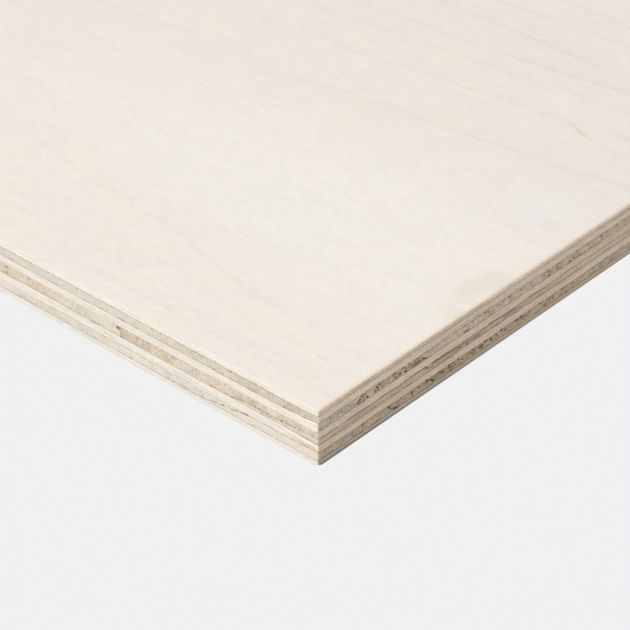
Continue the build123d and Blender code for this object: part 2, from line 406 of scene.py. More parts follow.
    (45.3, 9.28, 46.2, 9.40, 0.19, 0.30, 0.95),
    (45.6, 9.9, 46.0, 10.3, 0.08, 0.12, 0.50),
    (46.9, 9.5, 47.6, 9.95, 0.15, 0.30, 1.00),
    (48.4, 9.15, 48.9, 9.50, 0.12, 0.14, 0.50),
    (49.3, 10.0, 49.8, 10.5, 0.08, 0.10, 0.40),
    (49.9, 9.05, 50.5, 9.25, 0.16, 0.28, 1.00),
    (51.1, 9.3, 52.0, 10.1, 0.10, 0.18, 0.75),
    (53.0, 9.5, 53.4, 9.9, 0.08, 0.12, 0.50),
    (54.3, 9.20, 55.1, 9.38, 0.16, 0.24, 0.95),
    (55.7, 9.05, 56.3, 9.25, 0.15, 0.24, 0.95),
    (55.9, 9.4, 57.2, 10.4, 0.08, 0.18, 0.80),
    (56.6, 9.3, 57.3, 9.9, 0.08, 0.16, 0.70),
    (57.2, 10.15, 58.2, 9.60, 0.12, 0.18, 0.80),
    (58.3, 9.45, 59.0, 9.20, 0.13, 0.20, 0.85),
    (61.3, 9.08, 62.3, 9.22, 0.13, 0.12, 0.55),
    (62.9, 10.0, 63.5, 10.4, 0.11, 0.12, 0.50),
    (65.3, 9.4, 65.9, 9.95, 0.12, 0.14, 0.60),
    (65.9, 10.4, 66.4, 10.6, 0.10, 0.10, 0.50),
    (67.6, 9.08, 69.0, 9.22, 0.12, 0.10, 0.50),
    (69.2, 10.50, 70.4, 10.65, 0.12, 0.10, 0.50),
    (71.5, 9.2, 72.2, 9.8, 0.10, 0.08, 0.35),
    (77.2, 9.15, 78.6, 9.35, 0.15, 0.10, 0.45),
    (80.2, 10.3, 81.0, 10.6, 0.12, 0.10, 0.40),
    (81.6, 9.0, 82.8, 9.08, 0.13, 0.10, 0.45),
    (83.6, 10.4, 84.4, 10.6, 0.12, 0.10, 0.40),
    # sixth glue line
    (2.6, 10.72, 4.6, 10.74, 0.07, 0.06, 0.40),
    (13.0, 10.78, 16.5, 10.78, 0.06, 0.06, 0.35),
    (26.8, 10.76, 30.0, 10.78, 0.06, 0.06, 0.35),
    (44.0, 10.76, 47.0, 10.74, 0.06, 0.06, 0.35),
    (60.0, 10.76, 61.2, 10.78, 0.09, 0.08, 0.55),
]
CUTS_R = [c[:4] + (c[4] * (1.25 if c[1] > 9 else 1.05),) + c[5:] for c in CUTS_R]
CUTS_R = [
    (c[0] + 0.22, c[1] + low, c[2] + 0.22, c[3] + low, c[4], c[5], c[6] * faint)
    for c in CUTS_R
    for low in [0.10 if c[1] < 4.4 or 9.0 <= c[1] < 10.66 else 0.0]
    for faint in [0.90 if 16.0 < c[0] < 30.0 and c[1] < 4.4 else 1.0]
]
# strokes on the long edge, u from C0 towards -X
CUTS_L = [
    # core gap: the open end of the tunnel at the butt joint
    (48.76, 5.44, 48.96, 5.46, 0.34, 1.3, 0.80),
    (49.1, 5.08, 49.5, 4.92, 0.12, 0.20, 0.60),
    (50.0, 5.05, 50.3, 5.15, 0.10, 0.10, 0.35),
    # pin holes and specks in the core
    (78.5, 5.46, 78.8, 5.52, 0.30, 0.55, 1.00),
    (78.6, 6.4, 78.65, 6.85, 0.20, 0.10, 0.55),
    (79.3, 6.9, 80.0, 6.95, 0.12, 0.08, 0.45),
    (76.4, 6.9, 77.1, 6.95, 0.12, 0.08, 0.45),
    (75.2, 5.35, 75.8, 5.45, 0.14, 0.08, 0.35),
    (72.1, 5.15, 72.8, 5.35, 0.13, 0.16, 0.70),
    (71.4, 5.75, 71.55, 5.95, 0.12, 0.12, 0.50),
    (65.2, 5.0, 65.35, 5.3, 0.12, 0.10, 0.40),
    (63.9, 5.5, 64.3, 5.6, 0.11, 0.08, 0.35),
    (60.6, 5.0, 60.8, 5.15, 0.11, 0.10, 0.40),
    (57.0, 6.0, 57.7, 6.15, 0.09, 0.08, 0.35),
    (47.9, 5.1, 48.2, 5.3, 0.16, 0.10, 0.55),
    (46.2, 5.15, 46.9, 5.05, 0.12, 0.10, 0.45),
    (45.2, 5.10, 45.6, 5.15, 0.10, 0.10, 0.40),
    (48.2, 6.9, 47.5, 7.05, 0.12, 0.12, 0.55),
    (43.7, 5.1, 43.9, 5.3, 0.10, 0.10, 0.40),
    (42.7, 6.1, 42.9, 6.4, 0.10, 0.10, 0.40),
    (41.25, 6.1, 41.35, 6.5, 0.10, 0.12, 0.50),
    (40.9, 5.0, 41.1, 5.2, 0.10, 0.10, 0.45),
    (39.15, 5.0, 39.25, 5.6, 0.11, 0.12, 0.55),
    (34.6, 5.1, 34.9, 5.5, 0.10, 0.12, 0.45),
    (34.0, 7.05, 34.2, 7.1, 0.11, 0.14, 0.60),
    (31.4, 5.15, 31.9, 5.20, 0.13, 0.16, 0.70),
    (29.0, 5.2, 29.2, 5.35, 0.13, 0.16, 0.65),
    (28.3, 5.3, 28.45, 6.8, 0.06, 0.06, 0.35),
    (30.15, 5.2, 30.2, 6.7, 0.06, 0.06, 0.30),
    (23.0, 5.65, 23.3, 5.45, 0.12, 0.18, 0.75),
    (24.2, 6.0, 24.5, 6.3, 0.09, 0.10, 0.40),
    (22.0, 5.0, 22.3, 5.15, 0.11, 0.14, 0.60),
    (21.0, 5.4, 21.2, 5.5, 0.08, 0.08, 0.35),
    (12.7, 5.3, 12.9, 5.7, 0.08, 0.08, 0.30),
    (7.3, 5.1, 7.35, 5.7, 0.08, 0.10, 0.40),
    # specks under the first glue line
    (26.1, 1.30, 26.3, 1.34, 0.09, 0.10, 0.50),
    (24.1, 1.28, 24.5, 1.38, 0.13, 0.18, 0.85),
    (20.45, 1.60, 20.85, 1.68, 0.16, 0.24, 1.00),
    (17.4, 1.55, 18.0, 1.60, 0.10, 0.10, 0.45),
    (14.2, 1.38, 15.9, 1.36, 0.09, 0.12, 0.70),
    (12.95, 1.52, 13.35, 1.46, 0.14, 0.20, 0.95),
    (10.4, 1.36, 11.0, 1.40, 0.09, 0.08, 0.40),
    (6.0, 1.6, 6.9, 1.8, 0.20, 0.06, 0.35),
    (29.0, 1.45, 29.7, 1.48, 0.12, 0.14, 0.65),
    (30.7, 1.5, 31.0, 1.55, 0.10, 0.12, 0.50),
    (31.7, 1.40, 32.1, 1.48, 0.11, 0.14, 0.60),
    (32.7, 1.5, 33.1, 1.7, 0.13, 0.14, 0.60),
    (35.3, 1.40, 36.0, 1.42, 0.09, 0.10, 0.45),
    (37.5, 1.55, 38.3, 1.75, 0.12, 0.10, 0.45),
    (39.85, 1.48, 40.2, 1.58, 0.12, 0.16, 0.75),
    (42.8, 1.40, 44.0, 1.44, 0.08, 0.10, 0.50),
    (47.4, 1.38, 48.4, 1.40, 0.08, 0.10, 0.55),
    (49.6, 1.38, 50.6, 1.40, 0.10, 0.14, 0.75),
    (52.3, 1.40, 54.2, 1.44, 0.08, 0.12, 0.75),
    (57.3, 1.40, 57.9, 1.45, 0.09, 0.10, 0.45),
    (58.8, 1.45, 59.4, 1.50, 0.10, 0.10, 0.50),
    (63.1, 1.42, 63.9, 1.45, 0.10, 0.12, 0.60),
    (66.6, 1.36, 67.1, 1.40, 0.11, 0.14, 0.65),
    (69.2, 1.42, 73.0, 1.44, 0.07, 0.08, 0.40),
    (75.4, 1.42, 78.0, 1.44, 0.07, 0.06, 0.35),
    # and the second
    (24.4, 3.00, 24.9, 3.04, 0.13, 0.18, 0.80),
    (22.4, 3.12, 22.85, 3.06, 0.14, 0.22, 1.00),
    (23.1, 3.14, 23.5, 3.12, 0.09, 0.12, 0.55),
    (20.3, 3.05, 20.9, 3.10, 0.10, 0.12, 0.55),
    (14.6, 3.10, 17.6, 3.14, 0.07, 0.08, 0.50),
    (7.5, 2.95, 8.2, 2.97, 0.10, 0.14, 0.60),
    (6.1, 2.88, 7.0, 2.92, 0.08, 0.08, 0.40),
    (2.9, 2.74, 3.4, 2.78, 0.10, 0.14, 0.60),
    (0.3, 2.52, 1.8, 2.62, 0.09, 0.08, 0.50),
    (33.9, 3.18, 36.5, 3.20, 0.08, 0.12, 0.62),
    (36.9, 3.14, 39.3, 3.12, 0.08, 0.10, 0.60),
    (40.4, 3.20, 42.0, 3.24, 0.07, 0.08, 0.40),
    (43.6, 3.26, 44.1, 3.24, 0.08, 0.12, 0.60),
    (46.9, 3.06, 49.0, 3.04, 0.08, 0.10, 0.50),
    (52.4, 3.18, 54.4, 3.20, 0.08, 0.12, 0.65),
    (56.8, 3.06, 58.0, 3.10, 0.09, 0.08, 0.40),
    (64.4, 3.14, 67.0, 3.18, 0.08, 0.10, 0.50),
    (73.3, 3.12, 74.2, 3.16, 0.09, 0.08, 0.40),
    (76.6, 3.00, 77.6, 3.06, 0.12, 0.12, 0.45),
    # the dotted line over the lapped strip
    (25.3, 6.98, 25.9, 7.00, 0.11, 0.14, 0.60),
    (24.2, 6.95, 24.9, 6.98, 0.08, 0.08, 0.40),
    (21.6, 6.92, 22.0, 6.94, 0.14, 0.22, 0.90),
    (19.7, 6.88, 20.8, 6.92, 0.12, 0.20, 0.90),
    (18.9, 6.62, 19.4, 6.74, 0.12, 0.18, 0.80),
    (18.4, 6.64, 18.7, 6.72, 0.09, 0.12, 0.55),
    (17.8, 6.58, 18.2, 6.48, 0.15, 0.24, 1.00),
    (17.2, 6.46, 17.6, 6.50, 0.09, 0.14, 0.65),
    (15.6, 6.46, 16.3, 6.50, 0.11, 0.16, 0.75),
    (14.7, 6.48, 15.1, 6.38, 0.15, 0.24, 1.00),
    (14.2, 6.44, 14.5, 6.48, 0.09, 0.14, 0.60),
    (13.5, 6.42, 14.0, 6.36, 0.15, 0.22, 1.00),
    (12.7, 6.44, 13.3, 6.36, 0.11, 0.16, 0.70),
    (11.7, 6.30, 12.1, 6.38, 0.11, 0.18, 0.80),
    (11.2, 6.44, 11.6, 6.42, 0.14, 0.24, 1.00),
    (10.8, 6.40, 11.0, 6.44, 0.09, 0.14, 0.60),
    (9.9, 6.44, 10.3, 6.46, 0.09, 0.12, 0.50),
    (8.5, 6.38, 8.95, 6.34, 0.14, 0.22, 0.95),
    (8.2, 6.10, 8.5, 6.20, 0.10, 0.14, 0.60),
    (7.2, 6.16, 7.6, 6.22, 0.10, 0.16, 0.70),
    (6.5, 6.24, 6.9, 6.22, 0.15, 0.26, 1.00),
    (5.4, 6.08, 6.4, 6.16, 0.10, 0.20, 0.90),
    (4.1, 6.00, 4.4, 6.06, 0.10, 0.12, 0.50),
    (4.0, 5.5, 4.2, 6.1, 0.07, 0.08, 0.35),
    (1.3, 5.50, 1.8, 5.60, 0.12, 0.14, 0.60),
    (1.1, 6.05, 1.7, 6.05, 0.10, 0.12, 0.55),
    (13.1, 6.98, 13.5, 7.02, 0.09, 0.08, 0.40),
    # foot of the wedge under the lapped strip
    (0.3, 7.06, 4.0, 7.10, 0.08, 0.08, 0.50),
    # core bottom away from the corner
    (53.4, 6.98, 56.2, 6.98, 0.09, 0.12, 0.50),
    (57.0, 6.96, 61.0, 6.94, 0.08, 0.08, 0.30),
    (61.0, 6.96, 63.5, 7.00, 0.10, 0.10, 0.38),
    (64.5, 7.02, 66.9, 7.00, 0.10, 0.10, 0.45),
    (67.4, 7.04, 69.4, 7.04, 0.11, 0.12, 0.42),
    (70.5, 7.04, 74.0, 7.04, 0.08, 0.08, 0.40),
    (42.5, 6.96, 43.2, 6.94, 0.10, 0.10, 0.45),
    # streaks in the lower long band
    (50.7, 8.14, 52.6, 8.10, 0.15, 0.06, 0.45),
    (48.6, 8.20, 50.7, 8.16, 0.12, 0.04, 0.22),
    (44.2, 8.22, 47.8, 8.22, 0.06, 0.04, 0.25),
    (42.0, 8.30, 42.8, 8.34, 0.07, 0.05, 0.30),
    (33.0, 8.18, 35.0, 8.22, 0.12, 0.05, 0.32),
    (10.6, 7.56, 13.6, 7.30, 0.06, 0.05, 0.35),
    (7.8, 7.86, 10.6, 7.58, 0.08, 0.06, 0.45),
    (3.0, 8.10, 7.8, 7.88, 0.08, 0.06, 0.50),
    (0.1, 8.22, 3.0, 8.12, 0.10, 0.06, 0.62),
    # the scarfed lap
    (27.5, 10.66, 28.1, 10.70, 0.15, 0.20, 0.85),
    (24.7, 10.14, 25.5, 10.10, 0.08, 0.10, 0.45),
    (24.0, 9.98, 24.6, 9.94, 0.10, 0.12, 0.55),
    (22.9, 9.98, 23.4, 10.06, 0.14, 0.24, 0.95),
    (22.2, 9.66, 22.9, 9.92, 0.12, 0.20, 0.85),
    (20.9, 9.72, 21.6, 9.70, 0.07, 0.08, 0.40),
    (19.9, 9.62, 20.9, 9.80, 0.11, 0.16, 0.75),
    (18.9, 9.36, 19.8, 9.54, 0.10, 0.14, 0.70),
    (17.9, 9.22, 18.7, 9.34, 0.12, 0.16, 0.75),
    (16.3, 9.08, 17.8, 9.20, 0.14, 0.22, 0.95),
    (14.6, 9.00, 16.0, 9.04, 0.09, 0.10, 0.55),
    (9.5, 8.98, 13.3, 9.00, 0.07, 0.08, 0.50),
    (5.0, 8.92, 9.0, 8.98, 0.05, 0.04, 0.25),
    (2.2, 8.85, 3.6, 8.96, 0.14, 0.05, 0.25),
    (52.2, 9.04, 52.9, 9.06, 0.10, 0.10, 0.45),
    (42.0, 9.02, 42.6, 9.06, 0.08, 0.08, 0.40),
    (33.7, 8.98, 34.6, 9.00, 0.11, 0.10, 0.50),
    (25.8, 9.00, 27.0, 9.05, 0.08, 0.06, 0.35),
    (61.7, 8.98, 62.4, 9.02, 0.10, 0.08, 0.45),
    (65.8, 9.00, 67.2, 9.04, 0.10, 0.08, 0.45),
    # sixth line
    (14.9, 10.78, 15.9, 10.82, 0.09, 0.12, 0.60),
    (11.1, 10.74, 12.6, 10.78, 0.08, 0.10, 0.50),
    (9.2, 10.74, 10.3, 10.76, 0.07, 0.08, 0.45),
    (16.5, 10.80, 24.0, 10.80, 0.05, 0.04, 0.25),
    (29.0, 10.76, 29.8, 10.80, 0.11, 0.14, 0.65),
    (31.0, 10.74, 33.2, 10.74, 0.10, 0.14, 0.70),
    (34.6, 10.72, 35.4, 10.74, 0.13, 0.14, 0.70),
    (36.2, 10.72, 36.7, 10.72, 0.11, 0.14, 0.70),
    (37.2, 10.74, 40.6, 10.76, 0.07, 0.08, 0.40),
    (40.7, 10.76, 44.6, 10.74, 0.08, 0.10, 0.55),
    (45.1, 10.56, 46.3, 10.62, 0.13, 0.08, 0.40),
    (47.2, 10.70, 48.8, 10.70, 0.09, 0.12, 0.55),
    (50.0, 10.74, 53.0, 10.74, 0.06, 0.06, 0.35),
    (54.0, 10.74, 56.3, 10.72, 0.09, 0.10, 0.55),
    (56.6, 10.72, 57.6, 10.74, 0.09, 0.12, 0.60),
    (60.0, 10.70, 63.0, 10.70, 0.06, 0.06, 0.35),
    (64.3, 10.70, 65.2, 10.74, 0.10, 0.12, 0.60),
    (67.2, 10.68, 68.2, 10.70, 0.10, 0.12, 0.60),
    (70.0, 10.66, 74.0, 10.66, 0.07, 0.06, 0.35),
    (75.2, 10.62, 76.4, 10.66, 0.11, 0.12, 0.65),
    (77.5, 10.60, 79.5, 10.60, 0.08, 0.06, 0.35),
]


def strokes(cuts, u, p, seed):
    """Depth and darkness of the strokes at (u, depth p), with ragged outlines."""
    du = 0.14 * (fbm(u / 0.40, p / 0.40, seed, 3) - 0.5)
    dp = 0.14 * (fbm(u / 0.40 + 50, p / 0.40, seed + 1, 3) - 0.5)
    rag = 0.72 + 0.6 * vnoise(u / 0.33, p / 0.33, seed + 2)
    uu, pp = u + du, p + dp
    deep, dark = np.zeros_like(u), np.zeros_like(u)
    for u0, p0, u1, p1, w, mm, k in cuts:
        near = (
            (uu > min(u0, u1) - 4 * w)
            & (uu < max(u0, u1) + 4 * w)
            & (pp > min(p0, p1) - 4 * w)
            & (pp < max(p0, p1) + 4 * w)
        )
        if not near.any():
            continue
        hole = mm > 1
        a, b = (u[near], p[near]) if hole else (uu[near], pp[near])
        vx, vy = u1 - u0, p1 - p0
        t = np.clip(((a - u0) * vx + (b - p0) * vy) / (vx * vx + vy * vy), 0, 1)
        d = np.hypot(a - u0 - t * vx, b - p0 - t * vy)
        if hole:
            # a hole's darkness reaches past its rim: painted shade over the part of its floor that the light reaches
            m = np.exp(-((d / (0.84 * w)) ** 6))
            md = np.exp(-((d / (1.22 * w)) ** 8))
        else:
            taper = 0.60 + 0.40 * np.sin(np.pi * np.clip(t, 0.02, 0.98))
            m = np.exp(-((d / (w * taper * rag[near])) ** 2) * 1.2)
            # the darkness follows the hollow: partly the wood's own dark marks, partly painted shade in the hollow
            md = m
        deep[near] = np.maximum(deep[near], mm * m)
        dark[near] = np.maximum(dark[near], k * md)
    return deep, dark


def span(u, a, b, soft=0.3):
    return smooth(u, a - soft, a + soft) * (1 - smooth(u, b - soft, b + soft))


def torn_zones(u, p):
    """0 to 1 where the long band's fibres are torn out on the short edge."""
    inside = smooth(p, 2.55, 2.75) * (1 - smooth(p, 4.15, 4.32))
    u, p = u - 0.22, p - 0.05
    up = u + 1.5 * (p - 3.4)
    z = span(up, 10.1, 14.0, 0.25) * (1 - smooth(u, 12.7, 13.3))
    z = np.maximum(z, 0.85 * span(u, 14.5, 17.2, 0.35))
    z = np.maximum(z, 0.30 * span(u, 17.2, 19.3, 0.3))
    down = u - 2.0 * (p - 3.4)
    z = np.maximum(z, smooth(u, 19.1, 19.5) * (1 - smooth(down, 27.6, 28.0)))
    z = np.maximum(z, 0.45 * span(u, 38.6, 41.2, 0.6) * smooth(p, 3.6, 4.0))
    z = np.maximum(z, 0.35 * span(u, 44.0, 48.2, 0.8))
    z = np.maximum(z, 0.30 * span(u, 50.0, 59.5, 1.0))
    z = np.maximum(z, 0.60 * span(u, 62.4, 69.0, 0.8))
    z = np.maximum(z, 0.50 * span(u, 69.8, 74.4, 0.8))
    z = np.maximum(z, 0.30 * span(u, 76.0, 82.5, 1.0))
    return z * inside


CUTS_L = [
    (c[0], c[1] + 0.11, c[2], c[3] + 0.11, c[4], c[5], c[6] * faint)
    for c in CUTS_L
    # the threads along the glue lines fade away from the corner
    for faint in [0.72 if c[0] > 50 and (3.0 <= c[1] < 3.3 or 6.9 < c[1] < 7.1 or c[1] > 10.5) else 1.0]
]

# Tones of the end-grain veneers on the long edge: from, to, softness, then warm (tan to
# brown), grey, pale, and how lively the fine figure is. Depth limits last.
TONES_L = [
    # core, past the joint
    (47.1, 48.32, 0.10, 0.95, 0.0, 0.0, 0.7, 4.9, 7.3),
    (44.4, 47.2, 0.30, 0.70, 0.0, 0.0, 0.5, 4.9, 7.3),
    (40.4, 44.6, 0.30, 0.80, 0.0, 0.0, 1.5, 4.9, 7.3),
    (38.4, 40.4, 0.30, 0.50, 0.0, 0.0, 1.4, 4.9, 7.3),
    (36.2, 38.4, 0.20, 0.80, 0.0, 0.0, 1.4, 4.9, 7.3),
    (33.8, 36.2, 0.25, 0.62, 0.0, 0.0, 1.2, 4.9, 7.3),
    (32.3, 33.8, 0.25, 0.32, 0.1, 0.0, 0.8, 4.9, 7.3),
    (30.2, 32.3, 0.10, 0.05, 0.5, 0.0, 0.4, 4.9, 7.3),
    (28.3, 30.2, 0.10, 0.50, 0.1, 0.0, 1.3, 4.9, 7.3),
    (25.6, 28.3, 0.30, 0.22, 0.1, 0.0, 0.5, 4.9, 7.3),
    (21.8, 25.6, 0.40, 0.60, 0.0, 0.0, 1.1, 4.9, 7.3),
    (19.5, 21.8, 0.40, 0.40, 0.0, 0.0, 0.7, 4.9, 7.0),
    (11.5, 19.5, 0.50, 0.62, 0.0, 0.0, 1.3, 4.9, 6.8),
    (9.9, 11.4, 0.50, 0.12, 0.0, 0.32, 1.0, 4.9, 6.1),
    (7.5, 9.9, 0.30, 0.62, 0.0, 0.0, 1.0, 4.9, 6.4),
    (5.2, 7.5, 0.30, 0.45, 0.0, 0.0, 1.0, 4.9, 6.3),
    (0.0, 5.2, 0.40, 0.58, 0.0, 0.0, 1.1, 4.7, 6.1),
    # core, before it
    (48.3, 49.3, 0.10, 0.35, 0.0, 0.30, 0.4, 5.7, 7.1),
    (49.3, 54.0, 0.60, 0.10, 0.35, 0.0, 0.6, 4.9, 7.1),
    (54.0, 62.0, 0.80, 0.22, 0.25, 0.0, 0.8, 4.9, 7.1),
    (62.0, 67.1, 0.60, 0.28, 0.10, 0.0, 0.7, 4.9, 7.1),
    (67.1, 73.4, 0.35, 0.64, 0.0, 0.0, 0.8, 4.9, 7.0),
    (73.4, 76.2, 1.00, 0.45, 0.05, 0.0, 0.7, 4.9, 7.0),
    (76.0, 78.2, 0.40, 0.50, 0.0, 0.0, 0.5, 4.9, 7.0),
    (78.2, 81.0, 0.40, 0.65, 0.0, 0.0, 0.7, 4.9, 7.0),
    # the wedge under the lapped strip
    (0.0, 16.0, 1.00, 0.18, 0.10, 0.0, 1.3, 6.5, 7.3),
    # upper crossband: greyer away from the corner, brown beside it
    (0.0, 4.0, 0.8, 0.70, 0.0, 0.0, 1.0, 1.3, 3.3),
    (4.0, 8.0, 0.8, 0.90, 0.0, 0.0, 1.0, 1.3, 3.3),
    (8.0, 18.0, 1.5, 0.68, 0.0, 0.0, 0.9, 1.3, 3.3),
    (18.0, 27.0, 1.5, 0.52, 0.0, 0.0, 1.2, 1.3, 3.3),
    (27.0, 34.0, 1.5, 0.40, 0.0, 0.0, 1.1, 1.3, 3.3),
    (34.0, 41.0, 1.5, 0.30, 0.05, 0.0, 1.0, 1.3, 3.3),
    (41.0, 54.0, 1.5, 0.08, 0.35, 0.0, 0.6, 1.3, 3.3),
    (54.0, 60.0, 1.5, 0.12, 0.3, 0.0, 0.5, 1.3, 3.3),
    (60.0, 82.0, 1.5, 0.0, 0.50, 0.0, 0.5, 1.3, 3.3),
    # lower crossband
    (24.0, 37.0, 1.2, 0.06, 0.40, 0.0, 1.2, 9.0, 10.7),
    (37.0, 48.0, 1.5, 0.0, 0.20, 0.15, 0.5, 9.0, 10.7),
    (48.0, 51.0, 1.5, 0.0, 0.40, 0.0, 0.5, 9.0, 10.7),
    (51.0, 58.0, 1.5, 0.12, 0.35, 0.0, 0.5, 9.0, 10.7),
    (58.0, 70.0, 1.5, 0.28, 0.1, 0.0, 0.7, 9.0, 10.7),
    (70.0, 82.0, 1.5, 0.15, 0.2, 0.0, 0.6, 9.0, 10.7),
]


def tones(name, side, u, p):
    z = np.zeros_like(u)
    warm, grey, pale, lively = z.copy(), z.copy(), z.copy(), z + 0.6
    if side == 3:
        wsum = z.copy()
        acc = [z.copy() for _ in range(4)]
        for a, b, soft, w, g, pl, lv, p0, p1 in TONES_L:
            mid = 0.5 * (p0 + p1)
            ok = {
                "crossband_upper": mid < 4,
                "core_veneer": 4.5 < mid < 8 and a >= 48.2,
                "core_edge_strip": 4.5 < mid < 6.6 and a < 48.2 and not (p0 == 6.5),
                "core_lap_strip": p0 == 6.5,
                "crossband_lower": mid > 9,
                "crossband_lower_strip": False,
            }.get(name, False)
            if not ok:
                continue
            k = span(u, a, b, soft)
            for q, val in enumerate((w, g, pl, lv)):
                acc[q] += k * val
            wsum += k
        if wsum.max() > 0:
            f = 1 / np.maximum(wsum, 1)
            warm, grey, pale = (q * f for q in acc[:3])
            lively = np.where(wsum > 0.2, acc[3] * f, 0.6)
            warm = warm * (0.8 + 0.4 * vnoise(u / 1.1, p / 1.6, 551))
        if name == "core_edge_strip":
            warm = warm + 0.35 * span(u, 47.9, 48.4, 0.1)
            warm = warm + 0.25 * np.exp(-(((p - curve(LAP_L, u)) / 0.4) ** 2)) * (u < 20) * (u > 8)
        if name == "core_veneer":
            warm = warm + 0.8 * np.exp(-(((u - 78.6) / 0.5) ** 2)) * smooth(p, 6.2, 6.9)
        if name == "long_band_lower":
            line = np.interp(u, [0, 3, 8, 10.6, 13.6], [8.28, 8.22, 7.99, 7.69, 7.41])
            pale = (1 - smooth(u, 7, 13)) * (1 - smooth(p, line - 0.25, line))
            warm = (1 - smooth(u, 3, 10)) * smooth(p, line, line + 0.15) * 0.8
            warm = warm + 0.5 * np.exp(-(((u - 3.0) / 0.7) ** 2 + ((p - 8.85) / 0.2) ** 2))
            grey = z
        if name == "long_band_upper":
            pale = 0.5 * (1 - smooth(u, 12, 22))
            warm = 0.30 * smooth(u, 72, 77) * smooth(p, 4.0, 4.6)
            warm = warm + 0.2 * span(u, 21.5, 27.0, 0.5) * smooth(p, 4.4, 4.7)
        if name == "crossband_lower_strip":
            warm = 0.12 + 0 * u
            lively = z + 0.5
    elif side == 0:
        if name == "face_veneer":
            warm = 0.50 * span(u, 7, 15, 2) + 0.20 * span(u, 19, 33, 3) + 0.40 * span(u, 35, 45, 3)
            pale = 0.40 * span(u, 50, 72, 4)
        if name == "crossband_upper":
            pale = 0.60 * (1 - smooth(u, 3, 7)) + 0.10 * (1 - smooth(u, 6, 16))
            grey = 0.25 * smooth(u, 26, 34)
        if name == "long_band_upper":
            grey = 0.5 * (1 - smooth(u, 8, 10)) + 0.15 * span(u, 29, 44, 2)
            warm = 0.5 * span(u, 62.5, 69, 1.0) + 0.3 * smooth(u, 73, 78)
            lively = z + 1.0
        if name == "core_edge_strip":
            pale = 0.10 * (1 - smooth(u, 6, 14)) + 0.2 * span(u, 12, 34, 3)
            grey = 0.15 * (1 - smooth(u, 5, 12))
        if name == "core_lap_strip":
            grey = 0.20 * span(u, 4, 22, 2)
            warm = 0.45 * span(u, 31, 37, 1.5) * smooth(p, 6.5, 6.9) + 0.35 * span(u, 51, 55, 0.6)
            warm = warm + 0.35 * span(u, 10, 16, 2) + 0.10 * (1 - smooth(u, 8, 12)) + 0.30 * span(u, 36, 48, 2) + 0.35 * span(u, 56, 68, 2)
            pale = 0.35 * span(u, 24, 31, 1.5)
            dull = span(u, 29, 46, 1.0) * (1 - 0.6 * smooth(p, 6.5, 6.8)) + 0.5 * span(u, 51, 55, 0.6)
            warm = warm + 0.35 * dull + 0.28 * span(u, 18, 31, 2)
            lively = z + 0.9
        if name == "long_band_lower":
            warm = 0.15 * (1 - smooth(u, 2, 12)) + 0.30 * span(u, 33, 38, 1.5) + 0.30 * span(u, 10, 19, 3)
            warm = warm + 0.25 * span(u, 18, 30, 3) + 0.35 * span(u, 60, 72, 3)
            grey = 0.3 * span(u, 44, 56, 3)
            pale = 0.3 * span(u, 41, 56, 3)
        if name == "crossband_lower_strip":
            lively = z + 1.2
            warm = 0.55 * smooth(u, 12, 20) * (1 - smooth(u, 58, 62)) * (0.7 + 0.3 * span(u, 27, 40, 2))
            warm = warm + 0.6 * np.exp(-(((u - 63.5) / 1.2) ** 2 + ((p - 10.2) / 0.5) ** 2))
            warm = warm + 0.5 * np.exp(-(((u - 65.6) / 0.9) ** 2 + ((p - 9.7) / 0.5) ** 2))
            warm = warm + 0.6 * np.exp(-(((u - 85.0) / 1.5) ** 2 + ((p - 10.2) / 0.5) ** 2))
            warm = warm + 0.5 * np.exp(-(((u - 78.3) / 1.2) ** 2 + ((p - 10.4) / 0.4) ** 2))
            grey = 0.25 * smooth(u, 72, 80)
            warm = warm + 0.18 * smooth(u, 59, 65)
        if name == "back_veneer":
            grey = 0.25 + 0.45 * (1 - smooth(u, 5, 30))
        if name == "core_edge_strip":
            warm = 0.30 * smooth(u, 60, 66)
    return warm, grey, pale, lively


# ply -> (long edge, short edge) surface: amplitude of the grain relief in mm
ROUGH = {
    "face_veneer": (0.012, 0.024),
    "crossband_upper": (0.034, 0.018),
    "long_band_upper": (0.014, 0.045),
    "core_veneer": (0.038, 0.018),
    "core_edge_strip": (0.045, 0.018),
    "core_lap_strip": (0.034, 0.036),
    "long_band_lower": (0.016, 0.020),
    "crossband_lower": (0.034, 0.018),
    "crossband_lower_strip": (0.022, 0.055),
    "back_veneer": (0.014, 0.022),
}
MASKS = ("dark", "torn", "warm", "grey", "pale", "lively")


